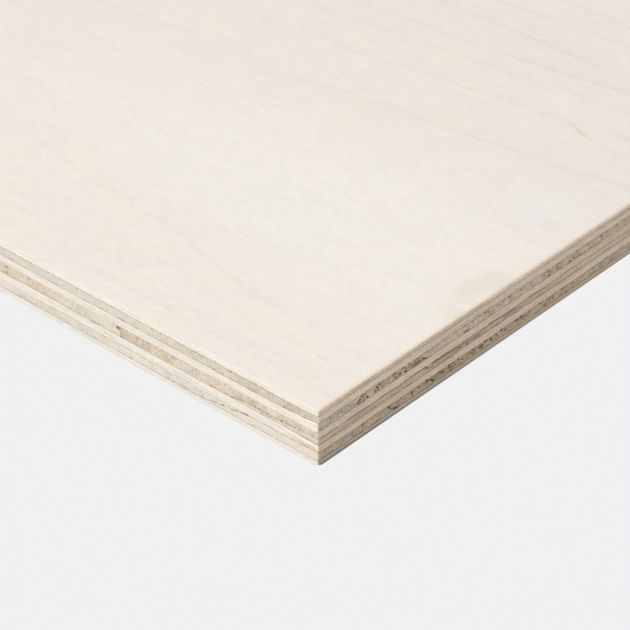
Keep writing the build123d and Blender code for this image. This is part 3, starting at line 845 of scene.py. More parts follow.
def relief(name, side, u, p, d_top, d_bot):
    """Inward displacement, and the masks that the material reads."""
    z = np.zeros_like(u)
    amp = ROUGH[name][0 if side in (1, 3) else 1]
    end = amp > 0.024
    edge_fade = smooth(u, 0.10, 0.6)
    if side == 0:
        fine = (1 - smooth(u, FINE_R - 6, FINE_R)) * edge_fade
    elif side == 3:
        fine = (1 - smooth(u, FINE_L - 6, FINE_L)) * edge_fade
    else:
        fine = z
    seed = 300 + 17 * list(PLIES).index(name) + side
    if end:
        g = 0.6 * fbm(u / 0.45, p / 0.9, seed, 3) + 0.4 * fbm(u / 0.3, p / 0.3, seed + 2, 2)
    else:
        g = 0.75 * fbm(u / 3.2, p / 0.22, seed, 3) + 0.25 * fbm(u / 0.35, p / 0.9, seed + 2, 2)
    disp = amp * g
    # glue lines sit a hair below the wood
    d = np.minimum(d_top, d_bot)
    line = np.exp(-((d / 0.08) ** 2)) * (0.35 + 0.65 * fbm(u / 1.3, p * 0, seed + 5, 3))
    disp = disp + 0.045 * line
    dark, torn = z.copy(), z.copy()
    warm, grey, pale, lively = tones(name, side, u, p)
    if side in (0, 3):
        cuts = CUTS_R if side == 0 else CUTS_L
        deep, dk = strokes(cuts, u, p, 500 + side)
        if name == "long_band_upper" and side == 0:
            torn = torn_zones(u, p)
            pits = torn * (0.04 + 0.22 * smooth(fbm(u / 0.5, p / 0.42, 520, 3), 0.42, 0.70))
            disp = disp + pits
            dark = 0.60 * torn * smooth(fbm(u / 0.40, p / 0.36, 530, 3), 0.52, 0.74)
        if name == "long_band_upper" and side == 3:
            own = (u < BUTT - 1.0) | (u > BUTT + 2.0) | (d_bot > 0.25)
            deep, dk = deep * own, dk * own
        disp = disp + deep
        dark = np.maximum(dark, dk)
    disp = disp * fine
    out = [dark * fine, torn * fine, warm, grey, pale, lively]
    return disp, out


# =====================================================================================
# Mesh of one ply
# =====================================================================================
def spread(length, fine_to, step=FINE, grow=1.12, most=24.0, q0=0.0):
    """Positions from q0: even to fine_to, then wider and wider, ending at length - q0."""
    if fine_to > q0:
        n = max(1, int(round((min(fine_to, length - q0) - q0) / step)))
        pos = list(q0 + (min(fine_to, length - q0) - q0) * np.arange(n + 1) / n)
    else:
        pos = [q0]
    s = step if fine_to > q0 else 0.5
    while pos[-1] < length - q0 - 1e-6:
        s = min(s * grow, most)
        left = length - q0 - pos[-1]
        if left < 1.5 * s:
            pos.append(length - q0)
        else:
            pos.append(pos[-1] + s)
    return np.array(pos)


def coarse(length, q0, step=30.0):
    n = max(2, int(math.ceil(length / step)))
    mid = np.linspace(0, length, n + 1)[1:-1]
    ends = [q0, q0 + 0.3, q0 + 1.0, q0 + 4.0]
    ends = [e for e in ends if e < length / 2 - 0.5]
    mid = mid[(mid > ends[-1] + 2) & (mid < length - ends[-1] - 2)]
    return np.array(ends + list(mid) + [length - e for e in reversed(ends)])


def build(name, spec):
    xa, xb = spec["x"]
    open_end = xb < HX - 0.01
    open_start = xa > -HX + 0.01
    lx = xb - xa
    rc_b = 0.04 if open_end else 0.25
    rc_a = 0.04 if open_start else 0.25
    k = 1 - 1 / math.sqrt(2)
    qa, qb = k * rc_a, k * rc_b
    shift = HX - xb  # u of the long edge counts from the sheet's own end

    # side 0: the +X end, u from -Y
    u0 = coarse(2 * HY, qb, 60) if open_end else spread(2 * HY, FINE_R, q0=qb)
    # side 3: the long edge at -Y, u from the +X end of the sheet
    if shift > FINE_L:
        u3 = coarse(lx, qb)
    else:
        s3 = spread(lx, FINE_L - shift, q0=qb)
        breaks = [b - shift for b in (SCARF_T, SCARF_B, LAP, BUTT) if 0.5 < b - shift < lx - 0.5]
        for b in breaks:
            s3[np.argmin(abs(s3 - b))] = b
        u3 = s3
    u1 = coarse(lx, qb, 16)
    breaks = [b - shift for b in (SCARF_T, SCARF_B, LAP, BUTT) if 0.5 < b - shift < lx - 0.5]
    u1 = np.unique(np.round(np.concatenate([u1, breaks]), 4))
    u1 = u1[np.concatenate([[True], np.diff(u1) > 0.02])]
    for b in breaks:
        if not np.any(abs(u1 - b) < 1e-6):
            u1[np.argmin(abs(u1 - b))] = b
    u2 = coarse(2 * HY, qa, 16)

    # the loop: corner columns are shared, so each side gives up its last column
    cols = []  # side, u in from the side's first corner, length of the side
    cols += [(0, u, 2 * HY) for u in u0[:-1]]
    cols += [(1, u, lx) for u in u1[:-1]]
    cols += [(2, u, 2 * HY) for u in u2[:-1]]
    cols += [(3, u, lx) for u in (lx - u3[::-1])[:-1]]
    side = np.array([c[0] for c in cols])
    u = np.array([c[1] for c in cols], float)
    length = np.array([c[2] for c in cols], float)
    n = len(cols)

    # distance from the +X end of the sheet, for the long sides
    s_back = np.where(side == 1, shift + u, np.where(side == 3, shift + (length - u), 0.0))
    s_back = np.where(side == 2, HX - xa, s_back)
    s_back = np.where(side == 0, shift, s_back)
    # u for the glue lines: from C0 on sides 0 and 3
    uu = np.where(side == 3, shift + (length - u), u)

    # rows
    rows = spec["rows"]
    v = np.linspace(0, 1, rows + 1)
    arris = None
    if name == "face_veneer":
        ang = np.radians([90, 72, 54, 36, 18, 0])
        arris = "top"
    elif name == "back_veneer":
        ang = np.radians([0, 18, 36, 54, 72, 90])
        arris = "bottom"

    top = np.empty(n)
    bot = np.empty(n)
    for sd in range(4):
        m = side == sd
        # a hidden +X end has the depths of the section, not those of the short edge
        real = sd if not (sd == 0 and open_end) else 1
        top[m] = limit(spec["top"], real, uu[m], s_back[m])
        bot[m] = limit(spec["bot"], real, uu[m], s_back[m])
    # keep each column's lower limit at least 0.006 mm under its upper one
    bot = np.maximum(bot, top + 0.006)

    if arris == "top":
        pa = ARRIS * (1 - np.sin(ang))
        ia = ARRIS * (1 - np.cos(ang))
        depth = np.concatenate(
            [np.repeat(pa[None], n, 0), ARRIS + (bot[:, None] - ARRIS) * v[None, 1:]], 1
        )
        inset = np.concatenate([ia, np.zeros(rows)])
        zone = np.concatenate([smooth(pa, 0.20, 0.0), np.zeros(rows)])
    elif arris == "bottom":
        pa = THICK - ARRIS_LOW * (1 - np.sin(ang))
        ia = ARRIS_LOW * (1 - np.cos(ang))
        depth = np.concatenate(
            [top[:, None] + (THICK - ARRIS_LOW - top[:, None]) * v[None, :-1], np.repeat(pa[None], n, 0)], 1
        )
        inset = np.concatenate([np.zeros(rows), ia])
        zone = np.concatenate([np.zeros(rows), smooth(THICK - pa, 0.20, 0.0)])
    else:
        depth = top[:, None] + (bot - top)[:, None] * v[None]
        inset = np.zeros(rows + 1)
        zone = np.zeros(rows + 1)
    m_rows = depth.shape[1]

    # the lower corner at C0 is blunted
    if arris == "bottom":
        off = np.where((side == 0) | (side == 3), uu, 99.0)
        blunt = 0.52 * np.clip(1 - off / 1.3, 0, 1) ** 2
        share = (depth - top[:, None]) / (THICK - top[:, None])
        depth = depth - blunt[:, None] * share

    # positions
    U = np.repeat(u[:, None], m_rows, 1)
    A = np.repeat(inset[None], n, 0)
    LEN = np.repeat(length[:, None], m_rows, 1)
    from_a, from_b = U, LEN - U
    along = U + A * (1 - smooth(from_a, 0, 10)) - A * (1 - smooth(from_b, 0, 10))
    rc_first = np.choose(side, [rc_b, rc_b, rc_a, rc_a])[:, None]
    rc_last = np.choose(side, [rc_b, rc_a, rc_a, rc_b])[:, None]

    def rounding(q, r):
        q = np.minimum(q, r)
        return r - np.sqrt(np.maximum(r * r - (r - q) ** 2, 0))

    inward = A + rounding(from_a, rc_first) + rounding(from_b, rc_last)

    d_top = depth - top[:, None]
    d_bot = bot[:, None] - depth
    if arris == "top":
        d_top = d_top + 9.0
    if arris == "bottom":
        d_bot = d_bot + 9.0
    disp = np.zeros_like(depth)
    masks = {q: np.zeros_like(depth) for q in MASKS}
    masks["lively"] += 0.6
    for sd in (0, 3):
        if sd == 0 and open_end:
            continue
        m = side == sd
        q = np.repeat(uu[m][:, None], m_rows, 1)
        out = relief(name, sd, q, depth[m], d_top[m], d_bot[m])
        disp[m] = out[0]
        for key, val in zip(MASKS, out[1]):
            masks[key][m] = val
    # the relief is cut to three tenths where the arris is set in, so that its own shape mostly stays
    disp = disp * (1 - 0.7 * smooth(A, 0.0, 0.1))
    # corner columns stay on the diagonal
    inward_all = inward + disp
    x = np.empty_like(depth)
    y = np.empty_like(depth)
    m = side == 0
    x[m], y[m] = xb - inward_all[m], -HY + along[m]
    m = side == 1
    x[m], y[m] = xb - along[m], HY - inward_all[m]
    m = side == 2
    x[m], y[m] = xa + inward_all[m], HY - along[m]
    m = side == 3
    x[m], y[m] = xa + along[m], -HY + inward_all[m]
    zc = THICK - depth

    verts = np.stack([x, y, zc], 2).reshape(-1, 3)
    faces = []
    idx = np.arange(n * m_rows).reshape(n, m_rows)
    nxt = np.roll(idx, -1, 0)
    quads = np.stack([idx[:, :-1], idx[:, 1:], nxt[:, 1:], nxt[:, :-1]], 2).reshape(-1, 4)
    faces += quads.tolist()
    smooth_faces = len(faces)

    # inner rings, a millimetre in, on the flat or sloping joint planes
    w_in = 1.0
    bx0, bx1 = xa + min(w_in, lx * 0.04), xb - min(w_in, lx * 0.04)
    rx = np.clip(x[:, 0], bx0, bx1)
    ry = np.clip(y[:, 0], -HY + w_in, HY - w_in)
    # columns closer to a corner than the ring is deep fold onto its corner: slide them apart
    per_side = {}
    for sd in range(4):
        mm = np.where(side == sd)[0]
        L_in = (bx1 - bx0) if sd in (1, 3) else 2 * HY - 2 * w_in
        t = (u[mm] - u[mm][0]) / (length[mm][0] - u[mm][0] * 2)
        off = (bx0 - xa) if sd in (1, 3) else w_in
        lin = t * L_in
        # keep true positions in the middle, spread evenly near the ends
        true = np.clip(u[mm] - off, 0, L_in)
        near = np.minimum(u[mm], length[mm] - u[mm])
        wgt = smooth(near, off, 6 * off)
        head = u[mm] / (6 * off) * (6 * off - off)
        tail = L_in - (length[mm] - u[mm]) / (6 * off) * (5 * off)
        bent = np.where(u[mm] < 6 * off, head, np.where(length[mm] - u[mm] < 6 * off, tail, true))
        bent[0] = 0.0
        val = np.clip(bent, 0, L_in)
        if sd == 0:
            rx[mm], ry[mm] = bx1, -HY + w_in + val
        elif sd == 1:
            rx[mm], ry[mm] = bx1 - val, HY - w_in
        elif sd == 2:
            rx[mm], ry[mm] = bx0, HY - w_in - val
        else:
            rx[mm], ry[mm] = bx0 + val, -HY + w_in
    s_in = HX - rx
    ring = {}
    for key, which in (("top", spec["top"]), ("bot", spec["bot"])):
        d = limit_hidden(which, s_in)
        if key == "bot":
            d = np.maximum(d, limit_hidden(spec["top"], s_in) + 0.006)
        start = len(verts)
        verts = np.concatenate([verts, np.stack([rx, ry, THICK - d], 1)])
        ring[key] = start + np.arange(n)
    o_top, o_bot = idx[:, 0], idx[:, -1]
    r_top, r_bot = ring["top"], ring["bot"]
    rt = np.stack([o_top, np.roll(o_top, -1), np.roll(r_top, -1), r_top], 1)
    rb = np.stack([np.roll(o_bot, -1), o_bot, r_bot, np.roll(r_bot, -1)], 1)
    faces += rt.tolist() + rb.tolist()

    # the broad faces
    extra = []  # left empty, not used
    cuts_x = {"lap": LAP, "scarf": SCARF_B, "scarf_t": SCARF_T}

    def plate(key, which, flip):
        nonlocal verts, faces
        loop = ring[key]
        b = cuts_x.get(which)
        parts = [loop]
        if b is not None and bx0 + 0.5 < HX - b < bx1 - 0.5:
            xs = verts[loop, 0]
            right = xs > HX - b - 1e-6
            left = xs < HX - b + 1e-6
            # make sure both long sides hold a vertex on the break
            for sgn in (-1, 1):
                on = (verts[loop, 1] * sgn > HY - w_in - 1e-6)
                j = np.where(on)[0][np.argmin(abs(xs[on] - (HX - b)))]
                verts[loop[j], 0] = HX - b
            xs = verts[loop, 0]
            parts = [loop[xs > HX - b - 1e-4], loop[xs < HX - b + 1e-4]]
            # order each part round the loop
            fixed = []
            for part in parts:
                where = [list(loop).index(q) for q in part] if len(part) < 50 else None
                ids = np.isin(loop, part)
                order = np.where(ids)[0]
                # rotate so that the run starts after the gap
                gaps = np.where(np.diff(order) > 1)[0]
                if len(gaps):
                    g = gaps[0] + 1
                    if not (ids[0] and ids[-1]):
                        g = 0
                    order = np.roll(order, -g)
                fixed.append(loop[order])
            parts = fixed
        for part in parts:
            f = [int(q) for q in part]
            faces.append(f[::-1] if flip else f)

    if name in ("face_veneer", "back_veneer"):
        key = "top" if name == "face_veneer" else "bot"
        flip = key == "bot"
        loop = ring[key]
        zlev = float(verts[loop[0], 2])
        # grid lines through ring vertices
        def pick(values, lo, hi, steps):
            """Chooses ring positions at about the spacing that steps(pos) gives."""
            vals = np.unique(np.round(values, 6))
            out = [vals[0]]
            for val in vals[1:]:
                if val - out[-1] >= steps(val) or val == vals[-1]:
                    out.append(val)
            if len(out) > 2 and out[-1] - out[-2] < 0.4 * steps(out[-1]):
                out.pop(-2)
            return np.array(out)

        sel3 = side == 3
        sel0 = side == 0
        c3 = np.concatenate([verts[loop[sel3], 0], [bx1]])
        c0 = np.concatenate([verts[loop[sel0], 1], [HY - w_in]])
        if name == "face_veneer":
            gx = pick(c3, bx0, bx1, lambda q: 2.4 if q > HX - 172 else 9.0)
            gy = pick(c0, -HY, HY, lambda q: 2.4 if q < -HY + 172 else 9.0)
        else:
            gx = pick(c3, bx0, bx1, lambda q: 24.0)
            gy = pick(c0, -HY, HY, lambda q: 24.0)
        ix, iy = len(gx), len(gy)
        gi = -np.ones((ix, iy), int)

        new = []
        for a in range(1, ix - 1):
            for b in range(1, iy - 1):
                gi[a, b] = len(verts) + len(new)
                new.append((gx[a], gy[b], zlev))
        verts = np.concatenate([verts, np.array(new)])
        for a in range(1, ix - 2):
            for b in range(1, iy - 2):
                f = [gi[a, b], gi[a + 1, b], gi[a + 1, b + 1], gi[a, b + 1]]
                faces.append([int(q) for q in (f[::-1] if flip else f)])
        # border cells take every ring vertex between them
        X, Y = verts[loop, 0], verts[loop, 1]

        def border(ring_ids, inner):
            f = [int(q) for q in ring_ids] + [int(q) for q in inner]
            faces.append(f[::-1] if flip else f)

        s0, s1, s2, s3 = (np.where(side == q)[0] for q in range(4))
        corner = {0: s0[0], 1: s1[0], 2: s2[0], 3: s3[0]}
        run = {
            0: np.concatenate([s0, [corner[1]]]),
            1: np.concatenate([s1, [corner[2]]]),
            2: np.concatenate([s2, [corner[3]]]),
            3: np.concatenate([s3, [corner[0]]]),
        }

        def anchors(sd, lines, axis):
            """The ring vertex of a side that is nearest to each grid line."""
            val = (X if axis == 0 else Y)[run[sd]]
            at = [int(np.argmin(abs(val - q))) for q in lines]
            up = val[-1] > val[0]
            at[0], at[-1] = (0, len(val) - 1) if up else (len(val) - 1, 0)
            return at

        on = {3: anchors(3, gx, 0), 1: anchors(1, gx, 0), 0: anchors(0, gy, 1), 2: anchors(2, gy, 1)}

        def stretch(sd, i, j):
            i, j = sorted((on[sd][i], on[sd][j]))
            return [int(loop[q]) for q in run[sd][i : j + 1]]

        for a in range(1, ix - 2):
            border(stretch(3, a, a + 1), [gi[a + 1, 1], gi[a, 1]])
            border(stretch(1, a, a + 1), [gi[a, iy - 2], gi[a + 1, iy - 2]])
        for b in range(1, iy - 2):
            border(stretch(0, b, b + 1), [gi[ix - 2, b + 1], gi[ix - 2, b]])
            border(stretch(2, b, b + 1), [gi[1, b], gi[1, b + 1]])
        # corners
        border(stretch(3, ix - 2, ix - 1)[:-1] + stretch(0, 0, 1), [gi[ix - 2, 1]])
        border(stretch(0, iy - 2, iy - 1)[:-1] + stretch(1, ix - 1, ix - 2), [gi[ix - 2, iy - 2]])
        border(stretch(1, 1, 0)[:-1] + stretch(2, iy - 1, iy - 2), [gi[1, iy - 2]])
        border(stretch(2, 1, 0)[:-1] + stretch(3, 0, 1), [gi[1, 1]])
        other = "bot" if key == "top" else "top"
        plate(other, spec[other], other == "bot")
    else:
        plate("top", spec["top"], False)
        plate("bot", spec["bot"], True)

    me = bpy.data.meshes.new(name + "_ply")
    me.from_pydata((verts / 1000.0).tolist(), [], faces)
    me.validate(clean_customdata=False)
    flags = np.zeros(len(me.polygons), bool)
    flags[:smooth_faces] = True
    me.polygons.foreach_set("use_smooth", flags)

    nv = len(me.vertices)
    nside = n * m_rows

    def attr(label, values, fill=0.0):
        full = np.full(nv, fill, np.float32)
        full[: len(values)] = values
        at = me.attributes.new(label, "FLOAT", "POINT")
        at.data.foreach_set("value", full)

    short = np.where((side == 0) | (side == 2), 1.0, 0.0)
    # the shared corner columns stay on their own side: one step of the mesh blends them
    attr("short", np.repeat(short[:, None], m_rows, 1).ravel())
    attr("d_top", d_top.ravel(), 9.0)
    attr("d_bot", d_bot.ravel(), 9.0)
    zone_all = np.repeat(zone[None], n, 0).ravel()
    flat = 1.0 if name in ("face_veneer", "back_veneer") else 0.0
    attr("flat", zone_all, flat)
    for key, val in masks.items():
        attr(key, val.ravel())
    return me, np.array(verts)


# =====================================================================================
# Growth lines of the broad faces
# =====================================================================================
# Lines near C0: points (x back along the long edge, y along the short edge), half width in
# mm, and how strong the line is along x
LINES = [
    ([(-200, 5.6), (-78, 5.1), (-30, 5.0), (0, 4.8)], 0.36, [(-200, 0.3), (-90, 0.22), (-70, 0.33), (-50, 0.35), (-30, 0.35), (0, 0.38)]),
    ([(-34, 6.8), (0, 6.5)], 0.28, [(-200, 0.16), (0, 0.16)]),
    (
        [(-200, 14.5), (-77, 10.0), (-57, 9.5), (-45, 8.0), (-33, 7.9), (0, 7.4)],
        0.38,
        [(-200, 0.3), (-90, 0.27), (-50, 0.25), (-30, 0.20), (0, 0.14)],
    ),
    ([(-60, 12.7), (-43, 12.5), (-20, 12.3), (0, 11.9)], 0.31, [(-200, 0.2), (-50, 0.22), (-30, 0.20), (0, 0.14)]),
    ([(-200, 15.5), (-87, 14.3), (-50, 14.5), (-30, 14.0)], 0.31, [(-200, 0.2), (-90, 0.07), (-70, 0.09), (-50, 0.18), (-30, 0.15), (0, 0.1)]),
    (
        [(-200, 44), (-150, 36.5), (-114, 31.5), (-95, 29.0), (-84, 26.4), (-70, 25.6), (-56.7, 24.0),
         (-50, 22.5), (-43, 20.7), (-36.7, 19.2), (-26.7, 18), (-16.7, 17.2), (0, 16.0)],
        0.52,
        [(-200, 0.40), (-110, 0.22), (-90, 0.26), (-70, 0.33), (-50, 0.37), (-30, 0.31), (-10, 0.14), (0, 0.12)],
    ),
    (
        [(-200, 75), (-133, 79.2), (-116.7, 80.8), (-100, 81.7), (-83, 82.5), (-76.7, 83.2), (-70, 85.0),
         (-60, 86.1), (-50, 86.9), (-43.3, 87.5), (-36.7, 88.8), (-26.7, 90.2), (-16.7, 91.0), (-8.3, 92.9),
         (-1.7, 93.6), (0, 93.7)],
        0.60,
        [(-200, 0.30), (-130, 0.22), (-110, 0.28), (-90, 0.28), (-70, 0.50), (-50, 0.42), (-30, 0.41), (-10, 0.52), (0, 0.5)],
    ),
    (
        [(-200, 88), (-120, 95), (-110, 96.7), (-100, 97.7), (-90, 98.7), (-80, 99.2), (-71.7, 100.4),
         (-60, 102.3), (-50, 102.8), (-41.7, 103.8), (-33, 105.1), (-16.7, 107.8), (0, 109)],
        0.45,
        [(-200, 0.25), (-110, 0.18), (-90, 0.39), (-70, 0.40), (-50, 0.60), (-30, 0.53), (-10, 0.4), (0, 0.3)],
    ),
    (
        [(-200, 101), (-96.7, 108.2), (-83, 109.5), (-71.7, 111.2), (-56.7, 112.8), (-46.7, 113.8),
         (-36.7, 115.3), (-21.7, 116.6), (0, 119)],
        0.48,
        [(-200, 0.2), (-90, 0.22), (-70, 0.26), (-50, 0.53), (-30, 0.45), (0, 0.4)],
    ),
    (
        [(-200, 108), (-88, 116.2), (-78, 117.5), (-66.7, 118.0), (-56.7, 118.9), (-43, 120.4), (-26.7, 122.6),
         (0, 125)],
        0.54,
        [(-200, 0.3), (-90, 0.24), (-70, 0.34), (-50, 0.53), (-30, 0.72), (0, 0.5)],
    ),
    ([(-200, 131), (-78, 128.6), (-50, 128.0), (-33, 127.9), (0, 128.8)], 0.70, [(-200, 0.4), (-70, 0.43), (-50, 0.56), (-30, 0.40), (0, 0.4)]),
    ([(-200, 131.5), (-68, 137.0), (-56.7, 137.7), (-41.7, 138.8), (0, 140.5)], 0.66, [(-200, 0.4), (-70, 0.68), (-50, 0.45), (0, 0.4)]),
    ([(-200, 147.5), (-56.7, 146.3), (-41.7, 146), (0, 145.4)], 0.58, [(-200, 0.4), (-50, 0.62), (0, 0.4)]),
    ([(-200, 158), (-60, 156.5), (0, 156)], 0.55, [(-200, 0.4), (-50, 0.6), (0, 0.4)]),
    ([(-200, 170), (0, 169)], 0.44, [(-200, 0.5), (0, 0.5)]),
    # a broad soft shade along the seventh line
    ([(-200, 71), (-133, 74.5), (-103, 77.4), (-76, 80.5), (-55, 86.0), (-36, 91.5), (0, 95.5)], 3.6,
     [(-200, 0.10), (-130, 0.11), (-60, 0.12), (-35, 0.09), (-15, 0.04), (0, 0.03)]),
    ([(-110, 51.8), (-96.7, 51.3), (-92.5, 48.8), (-81.7, 49.3), (-76, 49.4)], 0.30, [(-200, 0.1), (-104, 0.12), (-93, 0.38), (-86, 0.55), (-78, 0.3), (0, 0.1)]),
]


def far_rings(x, y, seed=0):
    """Ring number of a rotary-cut veneer: the log's rings are met again on each turn."""
    turn = 690.0
    a = 2 * np.pi * (y + 60 * seed) / turn
    wav = 26 * (fbm(x / 520.0, y / 90.0, 900 + seed, 4) - 0.5)
    taper = (x + 400 * seed) / 460.0
    g = 7.5 * np.cos(a + 0.25 * np.sin(x / 700.0)) + taper + 0.22 * wav
    g = g + 2.2 * (fbm(x / 900.0, y / 160.0, 930 + seed, 3) - 0.5)
    g = g + 0.25 * (fbm(x / 120.0, y / 14.0, 950 + seed, 3) - 0.5)
    return g


def add_rings(me, verts, seed):
    x, y = verts[:, 0], verts[:, 1]
    cx, cy = x - HX, y + HY
    g2 = far_rings(x, y, seed)
    r = np.hypot(cx / 1.15, cy)
    w = 1 - smooth(r, 135, 190) if seed == 0 else np.zeros_like(x)
    for label, val in (("ring_far", g2), ("ring_mix", w)):
        at = me.attributes.new(label, "FLOAT", "POINT")
        at.data.foreach_set("value", val.astype(np.float32))


# =====================================================================================
# Materials
# =====================================================================================
def srgb(r, g, b):
    def f(c):
        c = c / 255.0
        return c / 12.92 if c <= 0.04045 else ((c + 0.055) / 1.055) ** 2.4

    return (f(r), f(g), f(b), 1.0)


class Nodes:
    """Small helper: builds a node tree one call at a time."""

    def __init__(self, mat):
        mat.use_nodes = True
        self.t = mat.node_tree
        self.t.nodes.clear()
        self.out = self.t.nodes.new("ShaderNodeOutputMaterial")
        self.p = self.t.nodes.new("ShaderNodeBsdfPrincipled")
        self.t.links.new(self.p.outputs[0], self.out.inputs[0])
        self.cache = {}

    def put(self, sock, val):
        if isinstance(val, bpy.types.NodeSocket):
            self.t.links.new(val, sock)
        elif val is not None:
            sock.default_value = val

    def math(self, op, a, b=None, c=None, clamp=False):
        n = self.t.nodes.new("ShaderNodeMath")
        n.operation = op
        n.use_clamp = clamp
        self.put(n.inputs[0], a)
        if b is not None:
            self.put(n.inputs[1], b)
        if c is not None:
            self.put(n.inputs[2], c)
        return n.outputs[0]

    def add(self, a, b):
        return self.math("ADD", a, b)

    def sub(self, a, b):
        return self.math("SUBTRACT", a, b)

    def mul(self, a, b):
        return self.math("MULTIPLY", a, b)

    def attr(self, name):
        if name not in self.cache:
            n = self.t.nodes.new("ShaderNodeAttribute")
            n.attribute_name = name
            self.cache[name] = n.outputs["Fac"]
        return self.cache[name]

    def pos(self):
        """Position in millimetres, as x, y, z."""
        if "pos" not in self.cache:
            c = self.t.nodes.new("ShaderNodeTexCoord")
            s = self.t.nodes.new("ShaderNodeVectorMath")
            s.operation = "SCALE"
            self.t.links.new(c.outputs["Object"], s.inputs[0])
            s.inputs["Scale"].default_value = 1000.0
            x = self.t.nodes.new("ShaderNodeSeparateXYZ")
            self.t.links.new(s.outputs[0], x.inputs[0])
            self.cache["pos"] = (x.outputs[0], x.outputs[1], x.outputs[2])
        return self.cache["pos"]

    def vec(self, x, y, z=0.0):
        n = self.t.nodes.new("ShaderNodeCombineXYZ")
        self.put(n.inputs[0], x)
        self.put(n.inputs[1], y)
        self.put(n.inputs[2], z)
        return n.outputs[0]

    def noise(self, vector, scale=1.0, detail=2.0, rough=0.5, distortion=0.0):
        n = self.t.nodes.new("ShaderNodeTexNoise")
        n.noise_dimensions = "3D"
        self.put(n.inputs["Vector"], vector)
        n.inputs["Scale"].default_value = scale
        n.inputs["Detail"].default_value = detail
        n.inputs["Roughness"].default_value = rough
        n.inputs["Distortion"].default_value = distortion
        return n.outputs["Fac"]

    def span(self, v, a, b, lo=0.0, hi=1.0, smoothed=False):
        n = self.t.nodes.new("ShaderNodeMapRange")
        n.clamp = True
        n.interpolation_type = "SMOOTHSTEP" if smoothed else "LINEAR"
        self.put(n.inputs[0], v)
        n.inputs[1].default_value = a
        n.inputs[2].default_value = b
        n.inputs[3].default_value = lo
        n.inputs[4].default_value = hi
        return n.outputs[0]

    def mixf(self, f, a, b):
        n = self.t.nodes.new("ShaderNodeMix")
        n.data_type = "FLOAT"
        self.put(n.inputs[0], f)
        self.put(n.inputs[2], a)
        self.put(n.inputs[3], b)
        return n.outputs[0]

    def mixc(self, f, a, b, blend="MIX"):
        n = self.t.nodes.new("ShaderNodeMix")
        n.data_type = "RGBA"
        n.blend_type = blend
        n.clamp_factor = True
        self.put(n.inputs[0], f)
        self.put(n.inputs[6], a)
        self.put(n.inputs[7], b)
        return n.outputs[2]

    def gain(self, col, k):
        """Colour times a number."""
        n = self.t.nodes.new("ShaderNodeVectorMath")
        n.operation = "SCALE"
        self.put(n.inputs[0], col)
        self.put(n.inputs["Scale"], k)
        return n.outputs[0]

    def curve(self, t, points):
        """Smooth curve through points, both coordinates 0 to 1."""
        n = self.t.nodes.new("ShaderNodeFloatCurve")
        c = n.mapping.curves[0]
        pts = sorted(points)
        c.points[0].location = pts[0]
        c.points[1].location = pts[-1]
        for q in pts[1:-1]:
            c.points.new(q[0], q[1])
        n.mapping.use_clip = True
        n.mapping.update()
        self.put(n.inputs["Value"], t)
        return n.outputs[0]

    def bell(self, d, w):
        """exp(-(d / w)^2)"""
        q = self.math("DIVIDE", d, w)
        return self.math("POWER", 2.718282, self.mul(self.mul(q, q), -1.0))


# what each ply looks like on the long edges and on the short edges: colour, colour of its
# darker figure, how much of it is end grain (0 long grain, 1 end grain), how strong the
# figure is; then the darkness of the glue line above and below, on the long and short edges
# the short-edge colours are warmer and darker than the long-edge ones: partly the sawn end's own tone, partly painted
# shade for the short edge, which faces away from the key light
LOOK = {
    "face_veneer": dict(
        long=(srgb(247, 239, 226), srgb(228, 214, 196), 0.0, 1.0),
        short=(srgb(240, 218, 196), srgb(206, 178, 150), 0.45, 1.0),
        glue=((0.0, 0.0), (0.66, 0.62)),
    ),
    "crossband_upper": dict(
        long=(srgb(232, 223, 209), srgb(202, 187, 169), 1.0, 1.0),
        short=(srgb(239, 221, 202), srgb(214, 192, 168), 0.10, 1.0),
        glue=((0.64, 0.62), (0.38, 0.56)),
        warm=(srgb(204, 189, 174), srgb(208, 178, 136)),
    ),
    "long_band_upper": dict(
        long=(srgb(240, 232, 219), srgb(224, 212, 196), 0.0, 1.0),
        short=(srgb(223, 204, 181), srgb(180, 156, 128), 1.0, 1.0),
        glue=((0.38, 0.56), (0.22, 0.58)),
    ),
    "core_veneer": dict(
        long=(srgb(235, 226, 211), srgb(204, 188, 167), 1.0, 1.0),
        short=(srgb(230, 212, 190), srgb(206, 184, 158), 0.0, 1.0),
        glue=((0.22, 0.58), (0.46, 0.62)),
    ),
    "core_edge_strip": dict(
        long=(srgb(233, 222, 207), srgb(196, 178, 155), 1.0, 1.0),
        short=(srgb(236, 216, 196), srgb(210, 188, 162), 0.05, 1.0),
        glue=((0.22, 0.58), (0.35, 0.48)),
    ),
    "core_lap_strip": dict(
        long=(srgb(226, 215, 201), srgb(192, 178, 160), 0.8, 1.0),
        short=(srgb(217, 197, 176), srgb(178, 156, 130), 0.25, 1.0),
        glue=((0.25, 0.48), (0.46, 0.62)),
        warm=(srgb(213, 192, 163), srgb(180, 156, 126)),
    ),
    "long_band_lower": dict(
        long=(srgb(242, 235, 223), srgb(223, 211, 194), 0.0, 1.0),
        short=(srgb(235, 216, 194), srgb(208, 186, 158), 0.12, 1.0),
        glue=((0.46, 0.62), (0.36, 0.64)),
    ),
    "crossband_lower": dict(
        long=(srgb(234, 226, 214), srgb(206, 194, 178), 1.0, 1.0),
        short=(srgb(206, 187, 166), srgb(172, 150, 126), 1.0, 1.0),
        glue=((0.36, 0.64), (0.48, 0.80)),
    ),
    "crossband_lower_strip": dict(
        long=(srgb(234, 225, 213), srgb(212, 198, 182), 0.7, 1.0),
        short=(srgb(208, 188, 166), srgb(160, 137, 112), 1.0, 1.0),
        glue=((0.36, 0.64), (0.48, 0.80)),
        warm=(srgb(213, 192, 163), srgb(172, 146, 112)),
    ),
    "back_veneer": dict(
        long=(srgb(238, 231, 221), srgb(222, 210, 196), 0.0, 1.0),
        short=(srgb(208, 192, 174), srgb(176, 160, 142), 0.35, 1.0),
        glue=((0.48, 0.80), (0.0, 0.0)),
    ),
}
TOP_COL = srgb(237, 229, 220)
TOP_WARM = srgb(234, 223, 208)
TOP_COOL = srgb(238, 233, 225)


